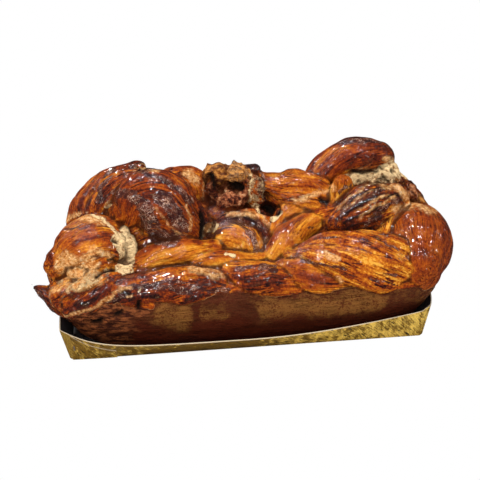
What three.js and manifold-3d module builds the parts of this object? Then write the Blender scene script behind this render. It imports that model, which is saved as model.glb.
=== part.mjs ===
// A babka: a loaf of twisted, layered strands baked in a long tin, in the folded card tray that comes with it.
// Millimetres, +Z up. X runs along the loaf and -Y is its front, where the strands lie lowest.
// The origin is the middle of the tray's underside. Loaf and tray are one solid each.

import * as THREE from "three";
import { mergeVertices } from "three/addons/utils/BufferGeometryUtils.js";
import Module from "manifold-3d";

const wasm = await Module();
wasm.setup();

// ---- Driving dimensions -------------------------------------------------------------------------

const CARD = 0.8; // thickness of the tray's card
const CLEARANCE = 0.4; // between the card and the loaf that stands on it
const TRAY_LENGTH = 260; // fold to fold, at the base
const TRAY_WIDTH = 102;
const TRAY_WALL = 24.5; // slant height of the folded-up walls
const TRAY_CORNER = 2.5; // radius of a folded corner
const CORNER_LEAN = 13; // degrees from upright, where two walls meet
const FRONT_LEAN = 45.5; // degrees, at the middle of a long wall, which the loaf pushes out
const LEFT_LEAN = 17; // degrees, at the middle of the left end wall
const RIGHT_LEAN = 32; // degrees, at the middle of the right end wall
const LEAN_SHAPE = 0.85; // how sharply a wall leans out from its corners: 1 is a sine, less is sharper
const PRESSED_SHARE = 0.075; // of the front wall, from its left corner, in which it is pressed out

// The tin-baked body: half length, half width and height of each level, from the base to under the strands.
const BODY_LEVELS = [
  { z: CARD + CLEARANCE, length: 106, width: 42 },
  { z: 4, length: 117, width: 46.5 },
  { z: 11, length: 126, width: 50 },
  { z: 21, length: 133.5, width: 53.5 },
  { z: 33, length: 141, width: 56.5 },
  { z: 44, length: 142, width: 58 },
  { z: 52, length: 134, width: 54.5 },
  { z: 60, length: 106, width: 38 },
];
const BODY_CORNER = 5.6; // exponent of the body's rounded rectangle
const BODY_SHIFT = 2.5; // the body stands this far to the right of the tray's middle
const BODY_BACK_RISE = 8; // the dough under the strands is higher at the back

const STEP = 11; // length of a strand's faces, along it
const FACE_WIDTH = 6.8; // width of a strand's faces, round it
const LEAST_AROUND = 8; // faces round the thinnest strand
const LUMP_DETAIL = 1; // a lump's faces are split this often
const CAP_RINGS = 2; // rings that round off each end

const CRUST = 0xa4511c;
const GOLD_CARD = 0xb89442;

// ---- Strands ------------------------------------------------------------------------------------
// path: centres and radii, [x, y, z, r]. layers and relief: ridges round the strand and their depth, where
// the cut edges of the rolled dough show. lean: turns of the ridges.

const STRANDS = [
  // The front row, left to right, which hangs a little over the tin-baked side.
  {
    name: "front_left", layers: 5, relief: 1, lean: 0.3,
    path: [
      [-107, -44, 43, 8], [-89, -44, 46, 13], [-64, -43, 47, 16], [-44, -43, 49, 17],
      [-24, -43, 50, 13.5], [-5, -45, 44, 7],
    ],
  },
  {
    name: "front_leaf",
    path: [[-126, -45, 38, 6], [-113, -47, 44, 9], [-101, -43, 50, 9], [-91, -37, 54, 5]],
  },
  {
    name: "front_middle", layers: 4, relief: 0.8, lean: 0.2,
    path: [[-10, -36, 57, 8], [4, -42, 53, 13], [19, -44, 50, 14], [38, -47, 45, 9]],
  },
  {
    name: "front_lobe",
    path: [[27, -40, 60, 5], [39, -45, 56, 10.5], [56, -48, 50, 10.5], [78, -49, 46, 7]],
  },
  {
    name: "front_right", layers: 7, relief: 1.1, lean: 0.25,
    path: [
      [36, -31, 61, 7], [54, -34, 61, 17], [78, -36, 58, 22.5], [100, -35, 54, 23],
      [119, -31, 50, 18],
    ],
  },
  {
    name: "right_knob",
    path: [[130, 18, 62, 13], [135, 5, 61, 20.5], [133, -14, 57, 25], [126, -33, 51, 21]],
  },

  // The left end and the hill behind it.
  {
    name: "left_mound", layers: 6, relief: 1.5, lean: 0,
    path: [[-130, -14, 59, 14.5], [-117, -11, 65, 24], [-100, -7, 66, 24.5], [-86, -6, 60, 14]],
  },
  {
    name: "back_left", layers: 5, relief: 0.8, lean: 0.2,
    path: [[-117, 26, 70, 11], [-110, 30, 87, 11], [-96, 34, 99.5, 10.5], [-74, 35, 105, 9.5]],
  },
  {
    name: "back_left_inner",
    path: [
      [-108, 14, 74, 8], [-101, 16, 90, 9], [-88, 18, 103, 9.5], [-68, 20, 108, 8.5],
      [-52, 20, 104, 6],
    ],
  },
  {
    name: "left_hill", layers: 6, relief: 1, lean: 0.3,
    path: [[-78, 8, 86, 17], [-68, 6, 96, 23], [-55, 3, 92, 25], [-43, -3, 80, 18], [-33, -8, 69, 10]],
  },
  {
    name: "hill_edge",
    path: [[-70, 16, 117, 4], [-52, 12, 111, 5.5], [-36, 5, 97, 6], [-26, -1, 80, 5], [-24, -6, 66, 4]],
  },
  {
    name: "back_lobe",
    path: [[-48, 38, 98, 10], [-34, 37, 94, 14], [-27, 33, 82, 12], [-24, 28, 70, 7]],
  },
  {
    name: "left_cheek",
    path: [[-128, -30, 42, 13], [-112, -34, 48, 15], [-96, -32, 53, 14], [-82, -30, 55, 9]],
  },
  {
    name: "left_skirt",
    path: [[-122, 18, 44, 11], [-130, 4, 46, 13], [-131, -12, 46, 13.5], [-124, -27, 43, 12]],
  },

  // The low middle, where the strands cross.
  {
    name: "gold_left", layers: 3, relief: 0.7, lean: 0.2,
    path: [[-80, -22, 58, 8], [-62, -21, 62, 10.5], [-41, -19, 64, 11], [-21, -18, 64, 8]],
  },
  {
    name: "gold_middle",
    path: [[-34, -29, 59, 6], [-17, -29, 61, 7.5], [0, -29, 59, 7], [15, -27, 60, 5]],
  },
  {
    name: "arch", layers: 4, relief: 0.7, lean: 0.2,
    path: [[-20, -1, 62, 9], [-7, -6, 67, 14], [5, -13, 63, 13], [10, -21, 57, 8]],
  },
  {
    name: "arch_edge",
    path: [[-20, 1, 68, 4], [-10, 1, 79, 4.5], [4, -2, 81, 4.5], [15, -8, 72, 4], [17, -14, 61, 4]],
  },
  { name: "arch_outer", path: [[-2, 6, 76, 6], [13, 4, 77, 7.5], [22, -4, 68, 6.5], [24, -10, 58, 6]] },
  {
    name: "gold_right", layers: 3, relief: 0.6, lean: 0.2,
    path: [[60, 4, 73, 8], [46, -5, 72, 10.5], [33, -16, 66, 11.5], [22, -25, 60, 8]],
  },
  { name: "gold_back", path: [[62, 12, 78, 7], [46, 8, 79, 9], [34, 4, 76, 8], [26, -5, 68, 7]] },

  // The back row, left to right.
  {
    name: "back_middle", layers: 5, relief: 1.1, lean: 0.3,
    path: [[20, 29, 97, 8], [31, 27, 91, 13.5], [44, 24, 87, 17.5], [58, 20, 82, 17], [70, 16, 76, 12]],
  },
  {
    name: "back_tongue", layers: 5, relief: 0.9, lean: 0.15,
    path: [
      [54, 35, 84, 8], [67, 37, 96, 12], [83, 38, 106.5, 14], [100, 38, 110.5, 14],
      [112, 37, 109.5, 10.5],
    ],
  },
  { name: "small_knob", path: [[79, 14, 97, 7.5], [76, 12, 89, 7], [70, 8, 80, 6]] },
  {
    name: "crumb_wedge",
    path: [[86, 30, 92, 12], [104, 33, 95, 11], [115, 33, 97, 11.5], [124, 31, 88, 9]],
  },
  { name: "ridged", path: [[76, -2, 72, 11], [92, 3, 78, 17], [107, 8, 81, 16.5], [120, 12, 84, 10]] },
  { name: "right_crook", path: [[106, -16, 66, 6], [114, -4, 73, 7], [124, 6, 78, 7]] },
  {
    name: "right_rag", layers: 5, relief: 1, lean: 0.2,
    path: [[110, 28, 78, 13], [123, 27, 75, 13], [135, 22, 71, 11], [142, 14, 67, 7]],
  },

  // The far side, which overhangs the tin-baked side as the front does.
  {
    name: "far_left", layers: 5, relief: 0.9, lean: 0.3,
    path: [[-124, 28, 52, 14], [-104, 38, 56, 18], [-78, 41, 60, 19], [-50, 42, 56, 15], [-34, 44, 50, 8]],
  },
  {
    name: "far_middle", layers: 5, relief: 0.9, lean: -0.3,
    path: [[-56, 38, 76, 12], [-34, 42, 67, 17], [-8, 43, 58, 17], [16, 44, 52, 12], [28, 46, 48, 7]],
  },
  {
    name: "far_right", layers: 5, relief: 0.9, lean: 0.3,
    path: [[4, 36, 76, 13], [26, 41, 68, 18], [52, 42, 61, 19], [78, 42, 55, 16], [96, 44, 49, 9]],
  },
  {
    name: "far_crown", layers: 5, relief: 0.9, lean: 0.2,
    path: [[58, 42, 72, 10], [78, 44, 84, 14], [100, 44, 86, 15], [118, 38, 76, 13], [128, 30, 66, 9]],
  },
  {
    name: "far_end", layers: 5, relief: 0.9, lean: -0.3,
    path: [[70, 36, 72, 14], [94, 38, 66, 19], [118, 32, 58, 18], [134, 18, 51, 12]],
  },

  // Dough inside, which carries the tall strands.
  {
    name: "spine_left",
    path: [[-104, 8, 52, 24], [-76, 14, 62, 30], [-46, 18, 60, 30], [-18, 20, 56, 26]],
  },
  {
    name: "spine_right",
    path: [[-4, 20, 56, 24], [34, 18, 58, 26], [76, 18, 62, 28], [112, 16, 54, 26]],
  },
];

// Thin ridges of chocolate and dough on the ridged strand: places round it in degrees, and their radii.
const RIDGED_BANDS = [62, 98, 134, 170, 206];
const BAND_RADIUS = 3;

// Torn crumb, nuts and crumble: centre, half sizes and how rough each lump is.
const LUMPS = [
  { name: "crag_top", at: [-13, 28, 104], size: [10, 10, 9], rough: 0.25 },
  { name: "crag_top_right", at: [2, 27, 106], size: [10, 10, 8], rough: 0.25 },
  { name: "crag_left", at: [-17, 23, 95], size: [5, 9, 14], rough: 0.2 },
  { name: "crag_right", at: [7, 23, 96], size: [6, 9, 10], rough: 0.22 },
  { name: "crag_back", at: [-6, 30, 92], size: [15, 9, 14], rough: 0.2 },
  { name: "crag_middle", at: [-6, 18, 89], size: [13, 12, 8], rough: 0.24 },
  { name: "crag_low", at: [-9, 12, 79], size: [15, 13, 8], rough: 0.14 },
  { name: "torn_curtain", at: [15, 20, 90], size: [7, 9, 17], rough: 0.2 },
  { name: "nut_middle", at: [12, 30, 107], size: [8, 5, 4], rough: 0.25 },
  { name: "nut_right", at: [125, 27, 91], size: [5, 5, 4], rough: 0.25 },
  { name: "nut_far_right", at: [133, 25, 85], size: [6, 6, 5], rough: 0.25 },
  { name: "nut_low_right", at: [130, 19, 83], size: [8, 6, 5], rough: 0.25 },
  { name: "torn_left", at: [-84, -8, 66], size: [8, 14, 18], rough: 0.18 },
];

// Deep gaps between the strands: centre and half sizes.
const GAPS = [
  { name: "gap_left", at: [-24, 3, 72], size: [2.5, 10, 12] },
  { name: "gap_right", at: [23, 12, 80], size: [6, 9, 6.5] },
];

// The crust that ran over the tin at the left end: [x, y, z, half width], flat and pointed.
const FLAP_PATH = [
  [-112, -34, 31, 15], [-126, -27, 32, 16], [-138, -18, 34.5, 12.5], [-149, -12, 38, 6.5], [-157, -8, 41, 0.8],
];
const FLAP_THICKNESS = 0.38; // of its width

// ---- Helpers ------------------------------------------------------------------------------------

// A manifold-3d solid from a closed three.js geometry.
function solidOf(geometry) {
  const bare = geometry.index ? geometry.toNonIndexed() : geometry.clone();
  bare.deleteAttribute("normal");
  bare.deleteAttribute("uv");
  const merged = mergeVertices(bare, 1e-4);
  return new wasm.Manifold(
    new wasm.Mesh({
      numProp: 3,
      vertProperties: merged.attributes.position.array,
      triVerts: new Uint32Array(merged.index.array),
    }),
  );
}

// A three.js geometry from a solid, with flat faces.
function geometryOf(solid) {
  const mesh = solid.getMesh();
  const geometry = new THREE.BufferGeometry();
  geometry.setAttribute("position", new THREE.BufferAttribute(mesh.vertProperties, 3));
  geometry.setIndex(new THREE.BufferAttribute(mesh.triVerts, 1));
  geometry.computeVertexNormals();
  return geometry;
}

// A closed surface over rings of equal length, shut by one point at each end.
function loft(rings, first, last) {
  const count = rings[0].length;
  const points = [first, ...rings.flat(), last];
  const faces = [];
  const at = (ring, k) => 1 + ring * count + (k % count);
  for (let k = 0; k < count; k++) {
    faces.push(0, at(0, k + 1), at(0, k));
    for (let ring = 0; ring < rings.length - 1; ring++) {
      faces.push(at(ring, k), at(ring, k + 1), at(ring + 1, k));
      faces.push(at(ring, k + 1), at(ring + 1, k + 1), at(ring + 1, k));
    }
    faces.push(at(rings.length - 1, k), at(rings.length - 1, k + 1), points.length - 1);
  }
  const geometry = new THREE.BufferGeometry().setFromPoints(points);
  geometry.setIndex(faces);
  return geometry;
}

// Centres, radii and directions along a strand, with its ends rounded off.
function stations(path) {
  const curve = new THREE.CatmullRomCurve3(path.map(([x, y, z]) => new THREE.Vector3(x, y, z)));
  const radii = new THREE.CatmullRomCurve3(path.map(([, , , r], i) => new THREE.Vector3(i, r, 0)));
  const steps = Math.max(6, Math.round(curve.getLength() / STEP));
  const made = [];
  const add = (t, along, share) => {
    const forward = curve.getTangent(t);
    const radius = radii.getPoint(t).y;
    const centre = curve.getPoint(t).addScaledVector(forward, along * radius);
    made.push({ t, centre, forward, radius: radius * share });
  };
  for (let i = 0; i < CAP_RINGS; i++) {
    const turn = ((i + 0.5) / CAP_RINGS) * (Math.PI / 2);
    add(0, -Math.cos(turn), Math.sin(turn));
  }
  for (let i = 0; i <= steps; i++) add(i / steps, 0, 1);
  for (let i = CAP_RINGS - 1; i >= 0; i--) {
    const turn = ((i + 0.5) / CAP_RINGS) * (Math.PI / 2);
    add(1, Math.cos(turn), Math.sin(turn));
  }
  return made;
}

// The two directions across a strand: sideways, and over, which points as nearly up as it can.
function across(forward) {
  const side = new THREE.Vector3(0, 0, 1).cross(forward).normalize();
  return { side, over: new THREE.Vector3().crossVectors(forward, side) };
}

function strandGeometry({ path, flat = 1, layers = 0, relief = 0, lean = 0 }) {
  const found = stations(path);
  const widest = Math.max(...path.map(([, , , r]) => r));
  const around = Math.max(LEAST_AROUND, Math.round((2 * Math.PI * widest) / FACE_WIDTH));
  const rings = found.map(({ t, centre, forward, radius }) => {
    const { side, over } = across(forward);
    return Array.from({ length: around }, (_, k) => {
      const angle = (k / around) * 2 * Math.PI;
      const ridge = relief * Math.cos(layers * angle + 2 * Math.PI * lean * t);
      const reach = radius + (layers ? ridge * Math.min(1, radius / 8) : 0);
      return centre
        .clone()
        .addScaledVector(side, reach * Math.cos(angle))
        .addScaledVector(over, reach * flat * Math.sin(angle));
    });
  });
  const tip = ({ centre, forward, radius }, way) => centre.clone().addScaledVector(forward, way * radius * 0.3);
  return loft(rings, tip(found[0], -1), tip(found.at(-1), 1));
}

// The path of a thin ridge that runs along a strand's surface, at an angle round it.
function ridgePath(strand, degrees, radius) {
  const curve = new THREE.CatmullRomCurve3(strand.path.map(([x, y, z]) => new THREE.Vector3(x, y, z)));
  return strand.path.map(([, , , r], i) => {
    const t = i / (strand.path.length - 1);
    const { side, over } = across(curve.getTangent(t));
    const angle = THREE.MathUtils.degToRad(degrees + 20 * t);
    const reach = r - 0.35 * radius;
    const point = curve
      .getPoint(t)
      .addScaledVector(side, reach * Math.cos(angle))
      .addScaledVector(over, reach * Math.sin(angle));
    return [...point.toArray(), radius * (0.75 + 0.25 * Math.sin(Math.PI * t))];
  });
}

// A smooth bump in space, about -1 to 1, that is the same wherever a point is shared.
function bump(p) {
  return (
    (Math.sin(p.x * 0.9 + p.y * 0.5) + Math.sin(p.y * 0.8 - p.z * 0.7) + Math.sin(p.z * 0.9 + p.x * 0.6)) / 3
  );
}

function lumpGeometry({ at, size, rough }) {
  const geometry = new THREE.IcosahedronGeometry(1, LUMP_DETAIL);
  const points = geometry.attributes.position;
  const p = new THREE.Vector3();
  for (let i = 0; i < points.count; i++) {
    p.fromBufferAttribute(points, i).multiply(new THREE.Vector3(...size));
    const place = p.clone().add(new THREE.Vector3(...at));
    p.multiplyScalar(1 + rough * bump(place)).add(new THREE.Vector3(...at));
    points.setXYZ(i, p.x, p.y, p.z);
  }
  return geometry;
}

// ---- The loaf -----------------------------------------------------------------------------------

// One level of the tin-baked body, as a rounded rectangle that rises towards the back.
function bodyRing({ z, length, width }, rise) {
  const count = 48;
  return Array.from({ length: count }, (_, k) => {
    const angle = (k / count) * 2 * Math.PI;
    const [c, s] = [Math.cos(angle), Math.sin(angle)];
    const reach = Math.pow(Math.abs(c) ** BODY_CORNER + Math.abs(s) ** BODY_CORNER, -1 / BODY_CORNER);
    const y = width * reach * s;
    return new THREE.Vector3(BODY_SHIFT + length * reach * c, y, z + rise * (y / width + 1) * 0.5);
  });
}

function bodySolid() {
  const rings = BODY_LEVELS.map((level) => bodyRing(level, level.z > 45 ? BODY_BACK_RISE : 0));
  const bottom = new THREE.Vector3(BODY_SHIFT, 0, BODY_LEVELS[0].z);
  const top = new THREE.Vector3(BODY_SHIFT, 0, BODY_LEVELS.at(-1).z + BODY_BACK_RISE);
  return solidOf(loft(rings, bottom, top));
}

function ridgeSolids() {
  const strand = STRANDS.find(({ name }) => name === "ridged");
  return RIDGED_BANDS.map((degrees) => {
    const path = ridgePath(strand, degrees, BAND_RADIUS);
    return solidOf(strandGeometry({ path }));
  });
}

function loafMesh() {
  const pieces = [
    bodySolid(),
    ...STRANDS.map((strand) => solidOf(strandGeometry(strand))),
    ...ridgeSolids(),
    solidOf(strandGeometry({ path: FLAP_PATH, flat: FLAP_THICKNESS })),
    ...LUMPS.map((lump) => solidOf(lumpGeometry(lump))),
  ];
  const gaps = GAPS.map((gap) => solidOf(lumpGeometry({ ...gap, rough: 0.1 })));
  const whole = gaps.reduce((loaf, gap) => loaf.subtract(gap), wasm.Manifold.union(pieces));
  const largest = whole.decompose().reduce((a, b) => (a.volume() > b.volume() ? a : b));
  const mesh = new THREE.Mesh(
    geometryOf(largest),
    new THREE.MeshStandardMaterial({ color: CRUST, roughness: 0.35, metalness: 0 }),
  );
  mesh.name = "babka_loaf";
  return mesh;
}

// ---- The tray -----------------------------------------------------------------------------------

// How far a wall leans out at a share of its length: 0 at its corners, 1 where the loaf presses on it.
function wallBulge(share, pressed) {
  if (pressed && share < 0.5) return 1 - Math.exp(-share / PRESSED_SHARE);
  return Math.sin(Math.PI * share) ** LEAN_SHAPE;
}

// Points along the base's fold, each with its outward direction and its wall's lean.
function foldStations() {
  const found = [];
  const sides = [
    { length: TRAY_LENGTH, off: TRAY_WIDTH / 2, turn: 0, lean: FRONT_LEAN, count: 16, pressed: true },
    { length: TRAY_WIDTH, off: TRAY_LENGTH / 2, turn: 90, lean: RIGHT_LEAN, count: 7 },
    { length: TRAY_LENGTH, off: TRAY_WIDTH / 2, turn: 180, lean: FRONT_LEAN, count: 12 },
    { length: TRAY_WIDTH, off: TRAY_LENGTH / 2, turn: 270, lean: LEFT_LEAN, count: 7 },
  ];
  for (const { length, off, turn, lean, count, pressed } of sides) {
    const spin = THREE.MathUtils.degToRad(turn);
    for (let k = 0; k <= count; k++) {
      const share = k / count;
      const along = (share - 0.5) * (length - 2 * TRAY_CORNER);
      const towards = CORNER_LEAN + (lean - CORNER_LEAN) * wallBulge(share, pressed);
      const base = new THREE.Vector3(along, -off, 0).applyAxisAngle(new THREE.Vector3(0, 0, 1), spin);
      const out = new THREE.Vector3(0, -1, 0).applyAxisAngle(new THREE.Vector3(0, 0, 1), spin);
      found.push({ base, out, lean: THREE.MathUtils.degToRad(towards) });
    }
  }
  return found;
}

function trayMesh() {
  const found = foldStations();
  const ring = (make) => found.map(make);
  const up = new THREE.Vector3(0, 0, 1);
  const outerBase = ring(({ base }) => base.clone());
  const outerTop = ring(({ base, out, lean }) =>
    base
      .clone()
      .addScaledVector(out, TRAY_WALL * Math.sin(lean))
      .addScaledVector(up, TRAY_WALL * Math.cos(lean)),
  );
  const innerTop = ring(({ out, lean }, i) =>
    outerTop[i]
      .clone()
      .addScaledVector(out, -CARD * Math.cos(lean))
      .addScaledVector(up, CARD * Math.sin(lean)),
  );
  const innerBase = ring(({ base, out }) => base.clone().addScaledVector(out, -CARD).addScaledVector(up, CARD));
  const geometry = loft(
    [outerBase, outerTop, innerTop, innerBase],
    new THREE.Vector3(0, 0, 0),
    new THREE.Vector3(0, 0, CARD),
  );
  const mesh = new THREE.Mesh(
    geometry,
    new THREE.MeshStandardMaterial({ color: GOLD_CARD, roughness: 0.4, metalness: 0.6 }),
  );
  mesh.name = "card_tray";
  return mesh;
}

const babka = new THREE.Group();
babka.add(loafMesh(), trayMesh());

export default babka;
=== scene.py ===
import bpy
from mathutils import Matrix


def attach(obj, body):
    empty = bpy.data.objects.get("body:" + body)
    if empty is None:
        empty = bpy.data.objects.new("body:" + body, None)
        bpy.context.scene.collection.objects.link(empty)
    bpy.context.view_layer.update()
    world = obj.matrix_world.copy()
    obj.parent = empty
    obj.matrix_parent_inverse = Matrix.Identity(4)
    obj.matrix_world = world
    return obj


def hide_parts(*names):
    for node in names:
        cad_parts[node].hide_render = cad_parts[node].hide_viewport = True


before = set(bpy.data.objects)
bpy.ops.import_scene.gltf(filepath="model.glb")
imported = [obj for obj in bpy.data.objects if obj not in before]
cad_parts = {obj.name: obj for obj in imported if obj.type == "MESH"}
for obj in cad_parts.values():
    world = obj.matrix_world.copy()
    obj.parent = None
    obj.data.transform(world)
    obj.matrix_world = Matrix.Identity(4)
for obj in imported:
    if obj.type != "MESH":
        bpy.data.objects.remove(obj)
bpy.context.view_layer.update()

# A babka in its folded card tray. Shapes are worked out in millimetres and made in metres.
import functools
import itertools
import math
from types import SimpleNamespace

import bmesh
import bpy
import numpy as np
from mathutils import Matrix, Vector
from mathutils.bvhtree import BVHTree

MM = 0.001


def link_object(name, data):
    """A new object in the scene for a mesh, light or camera."""
    made = bpy.data.objects.new(name, data)
    bpy.context.scene.collection.objects.link(made)
    return made


def unit(rows):
    """Directions of length 1."""
    return rows / np.linalg.norm(rows, axis=-1, keepdims=True)


def smooth(low, high, value):
    """0 at low, 1 at high and a soft step between."""
    t = np.clip((value - low) / (high - low), 0.0, 1.0)
    return t * t * (3.0 - 2.0 * t)


# ---- The photograph's camera ----------------------------------------------------------------------

PHOTO_SIDE = 480.0  # pixels
VIEW_AZIMUTH, VIEW_ELEVATION, VIEW_ROLL = -4.0, 27.0, -1.844  # degrees
VIEW_DISTANCE = 850.0  # mm
VIEW_TARGET = np.array([0.073, 0.0, 62.65])
FOCAL = 1135.648  # in pixels of the photograph
SENSOR = 36.0
NEAR_CLIP = 0.05  # metres


def view_axes():
    """Right, up and back of the photograph's camera."""
    az, el, roll = (math.radians(a) for a in (VIEW_AZIMUTH, VIEW_ELEVATION, VIEW_ROLL))
    back = np.array([math.sin(az) * math.cos(el), -math.cos(az) * math.cos(el), math.sin(el)])
    right = unit(np.cross(-back, [0.0, 0.0, 1.0]))
    up = np.cross(right, -back)
    level, turned = math.cos(roll), math.sin(roll)
    return level * right + turned * up, -turned * right + level * up, back


RIGHT, UP, BACK = view_axes()
EYE = VIEW_TARGET + BACK * VIEW_DISTANCE


def photo_pixels(points):
    """Where points in mm fall in the photograph, and how far from the camera they are."""
    away = points - EYE
    depth = -(away @ BACK)
    half = PHOTO_SIDE / 2
    return half + FOCAL * (away @ RIGHT) / depth, half - FOCAL * (away @ UP) / depth, depth


def make_camera():
    data = bpy.data.cameras.new("camera")
    data.sensor_width = SENSOR
    data.lens = FOCAL * SENSOR / PHOTO_SIDE
    data.clip_start = NEAR_CLIP
    camera = link_object("camera", data)
    turn = Matrix(list(zip(RIGHT, UP, BACK))).to_4x4()
    camera.matrix_world = Matrix.Translation(Vector(EYE * MM)) @ turn
    bpy.context.scene.camera = camera


# ---- Noise ----------------------------------------------------------------------------------------

TABLE_SIDE = 64  # cells after which the noise repeats
OCTAVE_SEEDS = 7  # from one size of noise to the next
OCTAVE_SHRINK = 2.03


@functools.cache
def table(seed):
    """Random numbers from 0 to 1, one for each cell."""
    return np.random.default_rng(seed).random((TABLE_SIDE,) * 3)


def noise(points, scale, seed):
    """Smooth noise from 0 to 1, one cell per scale (one number, or one for each axis)."""
    place = points / np.asarray(scale, dtype=float)
    cell = np.floor(place).astype(np.int64)
    part = smooth(0.0, 1.0, place - cell)
    values = table(seed)
    total = np.zeros(len(points))
    for corner in itertools.product((0, 1), repeat=3):
        weight = np.ones(len(points))
        for axis, step in enumerate(corner):
            weight *= part[:, axis] if step else 1.0 - part[:, axis]
        total += weight * values[tuple(((cell + corner) % TABLE_SIDE).T)]
    return total


def rough(points, scale, seed, octaves=3):
    """Noise about 0 over several sizes, each about half as large and half as deep."""
    total, height, reach = np.zeros(len(points)), 1.0, 0.0
    size = np.asarray(scale, dtype=float)
    for octave in range(octaves):
        total += height * (noise(points, size, seed + OCTAVE_SEEDS * octave) - 0.5)
        reach += height
        height /= 2
        size = size / OCTAVE_SHRINK
    return 2.0 * total / reach


def cells(points, scale, seed):
    """Distance to the nearest of scattered points, one in each cell."""
    place = points / scale
    cell = np.floor(place).astype(np.int64)
    best = np.full(len(points), np.inf)
    jitter = [table(seed + axis) for axis in range(3)]
    for corner in itertools.product((-1, 0, 1), repeat=3):
        near = cell + corner
        slot = tuple((near % TABLE_SIDE).T)
        spot = near + np.stack([values[slot] for values in jitter], axis=1)
        best = np.minimum(best, np.linalg.norm(spot - place, axis=1))
    return best


# ---- What the loaf is made of ---------------------------------------------------------------------

STRAND_DEFAULTS = dict(
    relief=0.8,  # depth of the lengthwise ridges
    lean=0.1,  # turns of the ridges from end to end
    tone=0.4,  # 0 golden, 0.5 mahogany, 1 chocolate
    streak=0.3,  # how much chocolate shows along it
    groove=0.4,  # depth of the slits between its layers
    gloss=1.0,  # how much glaze it has
    crumb=0.0,  # how torn it is
    lumps=1.2,  # how uneven it is as a whole
    grainy=0.8,  # how strongly its layers show
)


def strand(name, path, **options):
    """A strand of dough. path: its centres and radii, [x, y, z, r]."""
    return {**STRAND_DEFAULTS, **options, "name": name, "path": np.array(path, dtype=float)}


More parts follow.
